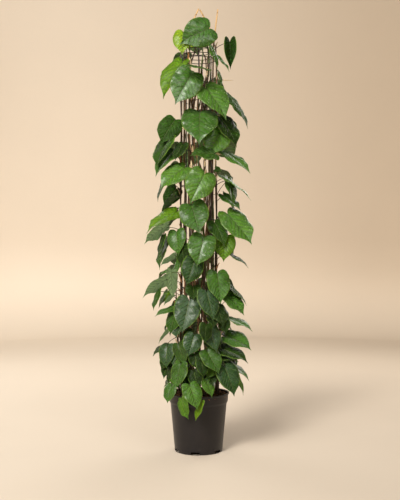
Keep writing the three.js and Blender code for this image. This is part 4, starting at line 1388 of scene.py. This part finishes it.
class Lines:
    def __init__(self):
        self.points = []
        self.edges = []
        self.values = {}

    def add(self, points, **values):
        first = len(self.points)
        self.points += [tuple(p) for p in points]
        self.edges += [(first + k, first + k + 1) for k in range(len(points) - 1)]
        for name, numbers in values.items():
            numbers = [numbers] * len(points) if np.isscalar(numbers) else list(numbers)
            self.values.setdefault(name, []).extend(numbers)

    def make(self, name, sides, finish):
        values = dict(self.values, thick=np.array(self.values["thick"]) * mm)
        made = meshObject(name, self.points, [], self.edges, values)
        return grow(made, stalks, {"Sides": sides, "Finish": finish})


def smoothLine(points, step):
    points = [np.array(p, float) for p in points]
    padded = [2 * points[0] - points[1]] + points + [2 * points[-1] - points[-2]]
    line = []
    for a, b, c, d in zip(padded, padded[1:], padded[2:], padded[3:]):
        count = max(2, round(span(b, c) / step))
        for k in range(count):
            t = k / count
            slopeB = (c - a) * span(b, c) / (span(a, b) + span(b, c))
            slopeC = (d - b) * span(b, c) / (span(b, c) + span(c, d))
            line.append(b * (2 * t ** 3 - 3 * t * t + 1) + slopeB * (t ** 3 - 2 * t * t + t)
                        + c * (3 * t * t - 2 * t ** 3) + slopeC * (t ** 3 - t * t))
    return line + [points[-1]]


# Canes: thin bamboo with a raised joint every hand's breadth.
def makeCane(number, line):
    path = smoothLine(line, 4.0)
    offset = 60 * makeDraw(300 + number)()
    run = np.cumsum([0] + [span(a, b) for a, b in zip(path, path[1:])])
    phase = (run + offset) % cane["spacing"] - cane["spacing"] / 2
    joint = np.exp(-(phase / cane["joint"]) ** 2)
    lines = Lines()
    lines.add(path, thick=cane["radius"] * (cane["fuller"] + cane["swell"] * joint), joint=joint)
    settle(lines.make(f"bamboo_cane_{number + 1}", cane["sides"], bambooSkin), "bamboo", f"cane_{number + 1}")


for number, line in enumerate(caneLines):
    makeCane(number, line)
print("canes made")


# Blade: a flat heart is drawn once, round and slim; each leaf blends the two on its own frame and bends.
heart = {
    "round": [(0, 0.87), (0.06, 0.925), (0.14, 0.968), (0.24, 0.993), (0.34, 1.0), (0.42, 0.99),
              (0.50, 0.952), (0.58, 0.88), (0.65, 0.785), (0.71, 0.675), (0.765, 0.545), (0.81, 0.412),
              (0.85, 0.275), (0.88, 0.18), (0.91, 0.106), (0.94, 0.06), (0.97, 0.03), (1, 0.01)],
    "slim": [(0, 0.90), (0.06, 0.955), (0.14, 0.99), (0.24, 1.0), (0.34, 0.968), (0.42, 0.91),
             (0.50, 0.832), (0.58, 0.73), (0.65, 0.62), (0.71, 0.51), (0.765, 0.398), (0.81, 0.3),
             (0.85, 0.212), (0.88, 0.15), (0.91, 0.1), (0.94, 0.062), (0.97, 0.032), (1, 0.01)],
    "columns": [0, 0.05, 0.15, 0.29, 0.46, 0.63, 0.79, 0.92, 1], "lobe": 0.145, "lobeMiddle": 0.5,
    "sinus": 0.02, "thickness": 0.7, "ripple": 0.065, "waves": 1.7, "dome": 0.13, "quilt": 0.03,
    "groove": 0.012, "pucker": 0.2, "lobes": -0.08,
}


def smoothThrough(knots, x):
    at, value = np.array(knots, float).T
    slope = np.gradient(value, at)
    k = np.clip(np.searchsorted(at, x) - 1, 0, len(at) - 2)
    width = at[k + 1] - at[k]
    t = np.clip((x - at[k]) / width, 0, 1)
    return (value[k] * (2 * t ** 3 - 3 * t * t + 1) + slope[k] * width * (t ** 3 - 2 * t * t + t)
            + value[k + 1] * (3 * t * t - 2 * t ** 3) + slope[k + 1] * width * (t ** 3 - t * t))


def heartEdges(a, knots):
    if a >= 0:
        return 0.0, float(smoothThrough(knots, a))
    deep = math.sqrt(1 - (a / heart["lobe"]) ** 2)
    middle = heart["lobeMiddle"]
    return middle * (1 - deep ** 1.3) + heart["sinus"], middle + (knots[0][1] - middle) * deep


def makeHeart():
    lobeRows = -heart["lobe"] * np.sin(np.radians([80, 71, 61, 51, 41, 31, 21, 10]))
    rows = [*lobeRows, *np.linspace(0, 0.9, 27), 0.925, 0.95, 0.97, 0.986, 1]
    columns = heart["columns"]
    spots = []
    margins = []
    index = {}
    faces = []
    for row, a in enumerate(rows):
        inner, wide = heartEdges(a, heart["round"])
        narrow = heartEdges(a, heart["slim"])[1]
        for hand in (1, -1):
            for col, t in enumerate(columns):
                if a >= 0 and col == 0 and hand < 0:
                    index[row, hand, col] = index[row, 1, 0]
                    continue
                index[row, hand, col] = len(spots)
                spots.append((a, hand * mix(inner, wide, t), hand * mix(inner, narrow, t)))
                margins.append(max(t, 1 - 9 * t) if a < 0 else t)
    for row in range(len(rows) - 1):
        for hand in (1, -1):
            for col in range(len(columns) - 1):
                quad = [index[row, hand, col], index[row, hand, col + 1], index[row + 1, hand, col + 1],
                        index[row + 1, hand, col]]
                faces.append(quad if hand < 0 else quad[::-1])
    count = len(spots)
    sides = {(face[k], face[(k + 1) % 4]) for face in faces for k in range(4)}
    rim = sorted(side for side in sides if side[::-1] not in sides)
    faces += [[c + count for c in face[::-1]] for face in faces]
    faces += [[b, a, a + count, b + count] for a, b in rim]
    spots = np.array(spots + spots)
    skin = np.repeat((0.0, 1.0), count)
    spot = np.column_stack((spots[:, 0], spots[:, 1], skin))
    made = meshObject("flat_heart", spot, faces, (), {
        "spot": spot, "slimShare": spots[:, 2], "toMargin": margins + margins, "underside": skin})
    addMap(made, "bladeMap", np.column_stack((spots[:, 1] * 0.5 + 0.5, spots[:, 0])))
    return made


def makeBladeTree():
    tree, g, out = newGeometryTree("leafBlades", [
        ("Heart", "Object", None), ("Thickness", "Float", 0.0007), ("Ripple", "Float", 0.05),
        ("Waves", "Float", 2.0), ("Dome", "Float", 0.1), ("Quilt", "Float", 0.03), ("Groove", "Float", 0.03),
        ("Lobes", "Float", -0.1), ("Pucker", "Float", 0.1)])
    template = addNode(tree, "GeometryNodeObjectInfo", {"Object": g["Heart"]}).outputs["Geometry"]
    hearts = placedOn(tree, g["Geometry"], template)
    real = outputOf(tree, "GeometryNodeRealizeInstances", {"Geometry": hearts})

    def read(name, kind="FLOAT_VECTOR"):
        return outputOf(tree, "GeometryNodeInputNamedAttribute", {"Name": name}, data_type=kind)

    def parts(name):
        return addNode(tree, "ShaderNodeSeparateXYZ", {0: read(name)}).outputs

    a, wide, skin = parts("spot")
    length, half, chance = parts("size")
    fold, droop, arch = parts("form")
    roundness, twist, tail = parts("habit")
    slim = read("slimShare", "FLOAT")
    s = total(tree, slim, times(tree, less(tree, wide, slim), roundness))
    side = calc(tree, "ABSOLUTE", s)
    squared = times(tree, side, side)
    bow = times(tree, a, less(tree, 1.0, a), arch, 4.0)
    bent = total(tree, droop, times(tree, side, g["Dome"]))
    valley = less(tree, times(tree, fold, side), times(tree, bent, squared))
    phase = total(tree, times(tree, a, g["Waves"], 6.2832), times(tree, chance, 40.0), times(tree, s, 1.7))
    ripple = times(tree, calc(tree, "SINE", phase), squared, g["Ripple"])
    lobes = times(tree, ease(tree, a, 0.12, -0.16), side, g["Lobes"])
    turn = times(tree, twist, s, less(tree, a, 0.4))
    field = less(tree, a, total(tree, times(tree, side, 0.34), times(tree, squared, 0.17)))
    apart = calc(tree, "ABSOLUTE", less(tree, calc(tree, "FRACT", times(tree, field, 6.667)), 0.5))
    swell = less(tree, 1.0, times(tree, apart, apart, 4.0))
    quilt = times(tree, swell, side, less(tree, 1.15, side), g["Quilt"], 3.0)
    groove = times(tree, ease(tree, side, 0.17, 0.0), ease(tree, a, 1.0, 0.7), g["Groove"], -1.0)
    flat = outputOf(tree, "ShaderNodeCombineXYZ", {
        0: times(tree, a, length), 1: times(tree, s, half), 2: times(tree, chance, 9.0)})
    uneven = less(tree, noise(tree, flat, 46.0, 1.5), 0.5)
    pucker = times(tree, uneven, ease(tree, side, 0.0, 0.5), g["Pucker"])
    crown = times(tree, half, total(tree, valley, ripple, lobes, turn, quilt, groove, pucker))
    height = less(tree, total(tree, times(tree, length, bow), crown), times(tree, skin, g["Thickness"]))
    position = read("base")
    moves = {"along": times(tree, a, length), "across": times(tree, s, half), "face": height}
    for axis, move in moves.items():
        position = vectorCalc(tree, "ADD", position, scaled(tree, read(axis), move))
    drip = calc(tree, "POWER", ease(tree, a, 0.70, 1.02), 1.4)
    position = vectorCalc(tree, "ADD", position, upBy(tree, times(tree, drip, tail, length, -1.0)))
    shaped = outputOf(tree, "GeometryNodeSetPosition", {"Geometry": real, "Position": position})
    for name in ("spot", "slimShare", "size", "form", "habit", "base", "along", "across", "face"):
        shaped = outputOf(tree, "GeometryNodeRemoveAttribute", {"Geometry": shaped, "Name": name})
    return closeTree(tree, out, shaped, g["Finish"])


flatHeart = makeHeart()
leafBlades = makeBladeTree()
drawLook = makeDraw(5150)


# Tone, gloss, margin and veins: of the finish, or for a hidden leaf greener the higher it hangs; the low ones
# take the darkest tones, which are partly painted shade.
def lookOf(leaf):
    jitter = drawLook() - 0.5
    if leaf.finish:
        tone, *others = finishes[leaf.finish]
        return tone + 0.08 * jitter, *others
    share = min(1, max(0, (leaf.base[2] - 250) / 1300))
    return 0.1 + 0.42 * share + 0.2 * jitter, 0.45 + 0.3 * jitter, 0.4, 0.5


def habitOf(leaf):
    level = 1 - abs(float(leaf.along[2]))
    return 0.4 + 0.6 * drawLook(), 0.5 * (drawLook() - 0.5), 0.015 + 0.03 * drawLook() + 0.07 * level


def makeBlades(name, carried):
    values = dict(zip(("leafTone", "leafGloss", "leafMargin", "leafVeins"), zip(*map(lookOf, carried))))
    for axis in ("along", "across", "face"):
        values[axis] = [getattr(leaf, axis) for leaf in carried]
    values["base"] = [leaf.base * mm for leaf in carried]
    values["size"] = [(leaf.length * mm, leaf.half * mm, drawLook()) for leaf in carried]
    values["form"] = [(leaf.fold, leaf.droop, leaf.arch) for leaf in carried]
    values["habit"] = [habitOf(leaf) for leaf in carried]
    values["leafSeed"] = [7 * drawLook() for leaf in carried]
    points = meshObject(name, [leaf.base for leaf in carried], [], (), values)
    shares = ("ripple", "waves", "dome", "quilt", "groove", "lobes", "pucker")
    return grow(points, leafBlades, {
        "Heart": flatHeart, "Thickness": heart["thickness"] * mm, "Finish": leafSurface,
        **{share.capitalize(): heart[share] for share in shares}})


# Stem, petioles and the ribs under the blades of one vine or shoot, with the short roots that hold it.
def makeStalks(name, index, stem, carried):
    draw = makeDraw(900 + index)
    kind = stem.kind
    lines = Lines()
    heights = sorted({kind["root"], *np.arange(kind["root"] + 6, stem.top, 6.0), stem.top})
    nodesAt = np.array([leaf.arc[0][2] for leaf in carried] or [0.0])
    path = []
    thick = []
    young = []
    for z in heights:
        path.append(stemPoint(stem, max(z, stemFoot), z))
        share = max(0, (z - soil["middle"]) / (stem.top - soil["middle"]))
        swell = 0.22 * float(np.exp(-((nodesAt - z) / 5.0) ** 2).max())
        thick.append(mix(kind["thick"], kind["thin"], share) * (0.92 + swell))
        young.append(0.05 + 0.5 * share ** 3)
    dry = [0.2 + 0.5 * max(0, math.sin(z / 61 + 2.3 * index)) ** 3 for z in heights]
    lines.add(path, thick=thick, young=young, dry=dry)
    for leaf in carried:
        t = np.linspace(0, 1, 14)
        arc = [alongArc(leaf.arc, k) for k in t]
        green = 0.35 + 0.3 * draw()
        lines.add(arc, thick=np.interp(t, [0, 0.1, 0.6, 0.93, 1], [1.9, 1.35, 1.1, 1.25, 1.1]),
                  young=np.interp(t, [0, 1], [green * 0.6, green + 0.15]), dry=0)
        a = np.linspace(blade["hold"] / leaf.length, 0.86, 12)
        rib = [onBlade(leaf, k, 0) - leaf.face * (0.5 + 0.25 * k) for k in a]
        lines.add(rib, thick=np.linspace(1.0, 0.35, 12), young=0.85, dry=0)
    for z in np.arange(soil["middle"] + 60, stem.top - 40, 52 + 20 * draw()):
        for k in range(2):
            start = stemPoint(stem, z, z)
            outward = outwardAt(start)
            sideways = turnedBy(up, outward)
            swing = (draw() - 0.5) * 2.4
            reach = 7 + 9 * draw()
            end = start - outward * reach * 0.35 + sideways * swing * reach * 0.5 - up * reach * 0.5
            middle = start + (end - start) * 0.5 + up * 2 * draw()
            lines.add([start, middle, end], thick=[0.75, 0.55, 0.25], young=0.3, dry=0.5)
    return lines.make(name, 8, stemBark)


# Papery sheaths left where leaves unrolled: [x, z] of the foot seen, [x, z] of the tip, width, ruddy or tan.
sheaths = {
    "rows": [[-20, 1272, -62, 1290, 13, 0], [90, 1181, 128, 1190, 13, 0], [-77, 1150, -79, 1190, 9, 1],
             [-18, 1120, -16, 1160, 9, 0], [19, 1130, 17, 1160, 8, 0], [53, 1135, 50, 1165, 8, 0],
             [25, 1090, 24, 1122, 9, 0], [50, 918, 52, 980, 8, 0], [-33, 600, -30, 655, 9, 0],
             [50, 722, 56, 750, 9, 1], [47, 1325, 49, 1350, 8, 0], [62, 1480, 64, 1505, 7, 0],
             [-12, 1400, -10, 1426, 8, 0], [83, 1483, 143, 1476, 4, 0], [20, 250, 30, 228, 6, 0],
             [-40, 1545, -44, 1580, 7, 1], [-8, 1010, -4, 1040, 7, 0], [-48, 880, -46, 915, 7, 0]],
    "steps": 9, "columns": 5, "thick": 0.35, "wrap": 1.5, "share": 0.45,
}


def sheathMesh(rows):
    points = []
    faces = []
    ruddy = []
    maps = []
    long, wide = sheaths["steps"], sheaths["columns"]
    for foot, tip, out, width, red, curl in rows:
        length = span(tip, foot)
        axis = (tip - foot) / length
        normal = unit(out - axis * float(out @ axis))
        sideways = turnedBy(normal, axis)
        first = len(points)
        for skin, i, j in product((0, 1), range(long), range(wide)):
            t = i / (long - 1)
            s = 2 * j / (wide - 1) - 1
            half = 0.5 * width * (math.sin(math.pi * min(1, 0.18 + 0.82 * t)) ** 0.7 + 0.04)
            wrap = sheaths["wrap"] * s
            lift = curl * length * t * t - half * (1 - math.cos(wrap)) * 0.8 + 0.6 * math.sin(9 * t + 3 * s)
            points.append(foot + axis * (t * length) + sideways * (half * math.sin(wrap))
                          + normal * (lift - skin * sheaths["thick"]))
            ruddy.append(red)
            maps.append((j / (wide - 1), t))
        size = long * wide
        for i, j in product(range(long - 1), range(wide - 1)):
            a = first + i * wide + j
            faces.append([a, a + 1, a + wide + 1, a + wide])
            faces.append([a + size + wide, a + size + wide + 1, a + size + 1, a + size])
        edge = ([first + j for j in range(wide)] + [first + i * wide + wide - 1 for i in range(1, long)]
                + [first + (long - 1) * wide + j for j in range(wide - 2, -1, -1)]
                + [first + i * wide for i in range(long - 2, 0, -1)])
        for a, b in zip(edge, edge[1:] + edge[:1]):
            faces.append([b, a, a + size, b + size])
    made = meshObject("papery_sheaths", points, faces, (), {"ruddy": ruddy})
    addMap(made, "sheathMap", maps)
    outwardFaces(made)
    made.data.materials.append(papery)
    return made


# The stem, seen from the front, that a listed sheath sits on, and the sheath on it.
def listedSheath(x, z, tipX, tipZ, width, red):
    options = []
    for order, stem in enumerate(stems):
        if stem.top < z + 5 or back["side"] < stem.turn < 2 * math.pi - back["side"]:
            continue
        depth = stemPoint(stem, z, z)[1]
        wanted = behind(x, z, depth)
        at = stemPoint(stem, wanted[2], wanted[2])
        options.append((abs(at[0] - wanted[0]), order, at, seenScale(depth)))
    at, scale = min(options)[2:]
    outward = outwardAt(at)
    tip = at + place((tipX - x) * scale, 0, (tipZ - z) * scale) + outward * 5
    return at + outward * 1.5, tip, outward, width, red, 0.05


def leafSheath(leaf, lean, size, red):
    foot = leaf.arc[0]
    outward = outwardAt(foot)
    sideways = turnedBy(up, outward)
    tip = foot + up * (20 + 26 * size) + sideways * (14 * (lean - 0.5)) + outward * (4 + 6 * lean)
    return foot + outward * 1.2, tip, outward, 6 + 5 * size, 1 if red > 0.75 else 0.3 * red, 0.14


def makeSheaths():
    rows = [listedSheath(*row) for row in sheaths["rows"]]
    draw = makeDraw(6161)
    for leaf in leaves:
        keep, lean, size, red = draw(), draw(), draw(), draw()
        if keep <= sheaths["share"]:
            rows.append(leafSheath(leaf, lean, size, red))
    settle(sheathMesh(rows), "sheath")
    print("sheaths:", len(rows))


# Old bare stems climb inside the wires, winding round the canes, with a few short dry roots.
oldStems = {
    "count": 18, "radius": 60, "thin": 1.5, "thick": 4.2, "foot": 205, "lowest": 900, "highest": 1690,
    "step": 9, "sway": 0.4, "wave": 900, "wobble": 0.1, "wobbleStep": 37, "clear": 7, "narrowFrom": 1590,
    "knots": 85, "knotLength": 5, "golden": 0.618, "sides": 7,
}


def caneAt(line, z):
    heights = [p[2] for p in line]
    return np.array([np.interp(z, heights, [p[k] for p in line]) for k in range(2)])


def clearOfCanes(at, z):
    for line in caneLines:
        apart = at - caneAt(line, z)
        distance = math.hypot(*apart)
        if distance < oldStems["clear"]:
            at = at + apart / distance * (oldStems["clear"] - distance)
    return at


def addOldStem(lines, draw, k):
    top = mix(oldStems["lowest"], oldStems["highest"], ((k * oldStems["golden"] + 0.35) % 1) ** 0.4)
    turn = 2 * math.pi * (k + 0.6 * draw()) / oldStems["count"]
    radius = oldStems["radius"] - 12 * draw()
    wave = oldStems["wave"] * (0.6 + 0.8 * draw())
    phase, dry, size = 6.3 * draw(), draw(), mix(oldStems["thin"], oldStems["thick"], draw())
    path = []
    thick = []
    for z in np.arange(oldStems["foot"], top, oldStems["step"]):
        angle = turn + oldStems["sway"] * math.sin(2 * math.pi * z / wave + phase)
        angle += oldStems["wobble"] * math.sin(z / oldStems["wobbleStep"] + phase)
        reach = radius * (1 - 0.3 * max(0, (z - oldStems["narrowFrom"]) / 100))
        at = clearOfCanes(aroundAxis(angle, reach, z)[:2], z)
        path.append(place(*at, z))
        beside = (z + 40 * phase) % oldStems["knots"] - oldStems["knots"] // 2
        knot = math.exp(-(beside / oldStems["knotLength"]) ** 2)
        thick.append(size * (1.0 - 0.12 * z / top + 0.4 * knot))
        if knot > 0.97:
            outward = outwardAt(at)
            swing = turnedBy(up, outward) * (22 * (draw() - 0.5))
            end = path[-1] + outward * (5 - 16 * draw()) + swing - up * (12 * draw() - 4)
            root = [path[-1], (path[-1] + end) / 2 + up * 2, end]
            lines.add(root, thick=[0.8, 0.6, 0.3], young=0.2, dry=0.7)
    young = 0.15 + 0.75 * (dry < 0.3)
    lines.add(path, thick=thick, young=young, dry=min(1, max(0, 1.8 * dry - 0.4)))


def makeOldStems():
    lines = Lines()
    draw = makeDraw(808)
    for k in range(oldStems["count"]):
        addOldStem(lines, draw, k)
    piece = lines.make("old_stems", oldStems["sides"], stemBark)
    settle(piece, "stem")
    print("old stems made, faces:", len(piece.data.polygons))


makeOldStems()
makeSheaths()
for index, stem in enumerate(stems):
    carried = [leaf for leaf in leaves if leaf.stem == index]
    node = nodeOf(index)
    settle(makeBlades(f"{node}_blades", carried), "leaf", node)
    settle(makeStalks(f"{node}_stalks", index, stem, carried), "stem", node)
bpy.data.objects.remove(flatHeart)
print("vines and shoots made")


# Studio: a pale round floor that turns up into a wall all round. Soft light from the front, more of it
# from the left, and weaker light from behind.
studio = {"floor": [1500, 3200, 4400], "bend": 900, "wall": [2600, 4200], "sides": 96}
plasterAndPaintedShade = {"light": (0.79, 0.69, 0.57), "dark": (0.45, 0.365, 0.275)}


def makeStudio():
    edge, bend, sides = studio["floor"][-1], studio["bend"], studio["sides"]
    profile = [(r, 0) for r in studio["floor"]]
    turns = np.linspace(0.1, math.pi / 2, 12)
    profile += [(edge + bend * math.sin(t), bend - bend * math.cos(t)) for t in turns]
    profile += [(edge + bend, z) for z in studio["wall"]]
    points = []
    for r, z in profile:
        points += [(r * math.cos(t), r * math.sin(t), z) for t in 2 * np.pi * np.arange(sides) / sides]
    points.append((0, 0, 0))
    faces = []
    for k in range(sides):
        faces.append([len(points) - 1, k, (k + 1) % sides])
        for ring in range(len(profile) - 1):
            a = ring * sides + k
            b = ring * sides + (k + 1) % sides
            faces.append([a, a + sides, b + sides, b])
    made = meshObject("studio", points, faces)
    made.data.shade_smooth()
    material, tree, shader, where = newMaterial("plasterPale", Roughness=0.9, Specular_IOR_Level=0.2)
    patch = mottled(tree, where, 1.4, 60.0, 0.10)[0]
    x, y, z = addNode(tree, "ShaderNodeSeparateXYZ", {0: where}).outputs
    # Painted shade: the backdrop darkens towards the right, and less so on the floor, as if the light fell
    # from the left.
    shade = times(tree, ease(tree, x, -1.9, 2.2), ease(tree, z, 0.0, 0.7, (0.65, 1.0)))
    colour = blendColour(tree, shade, plasterAndPaintedShade["light"], plasterAndPaintedShade["dark"])
    # Random mottle, times painted shade that makes the floor darker than the wall.
    tone = times(tree, patch, ease(tree, z, 0.0, 0.5, (0.84, 1.0)))
    tree.links.new(scaled(tree, colour, tone), shader.inputs["Base Color"])
    made.data.materials.append(material)
    made.visible_shadow = False


def addLight(name, kind, energy, colour, spot, aim, **settings):
    data = bpy.data.lights.new(name, kind)
    data.energy = energy
    data.color = colour
    for label, value in settings.items():
        setattr(data, label, value)
    toward = place(*aim) - place(*spot)
    light = linked(name, data)
    light.location = spot
    light.rotation_euler = (math.atan2(math.hypot(toward[0], toward[1]), -toward[2]), 0,
                            math.atan2(-toward[0], toward[1]))


panels = {
    "windowLeft": {"size": (1.2, 2.2), "energy": 46, "colour": (1.0, 0.97, 0.92), "spot": (-1.5, -2.1, 2.4),
                   "aim": (0, 0, 1.0)},
    "windowFront": {"size": (1.6, 1.2), "energy": 26, "colour": (1.0, 0.98, 0.95), "spot": (1.1, -2.6, 2.7),
                    "aim": (0, 0, 0.9)},
    "fillBack": {"size": (1.8, 1.4), "energy": 44, "colour": (1.0, 0.97, 0.93), "spot": (1.6, 2.6, 2.2),
                 "aim": (0, 0, 0.8)},
    "fillBackLeft": {"size": (1.6, 1.4), "energy": 26, "colour": (1.0, 0.98, 0.95), "spot": (-2.0, 2.2, 2.0),
                     "aim": (0, 0, 0.8)},
}
makeStudio()
addLight("daylight", "SUN", 3.0, (1.0, 0.965, 0.91), (-1.35, -3.0, 2.9), (0, 0, 0.4), angle=math.radians(19))
for name, panel in panels.items():
    width, height = panel["size"]
    addLight(name, "AREA", panel["energy"], panel["colour"], panel["spot"], panel["aim"],
             shape="RECTANGLE", size=width, size_y=height)
world = bpy.data.worlds.new("studioAir")
world.use_nodes = True
air = world.node_tree.nodes["Background"]
air.inputs["Color"].default_value = (1.0, 0.96, 0.91, 1)
air.inputs["Strength"].default_value = 0.17
bpy.context.scene.world = world
bpy.context.scene.view_settings.view_transform = "Standard"
print("studio made")

bpy.context.view_layer.update()
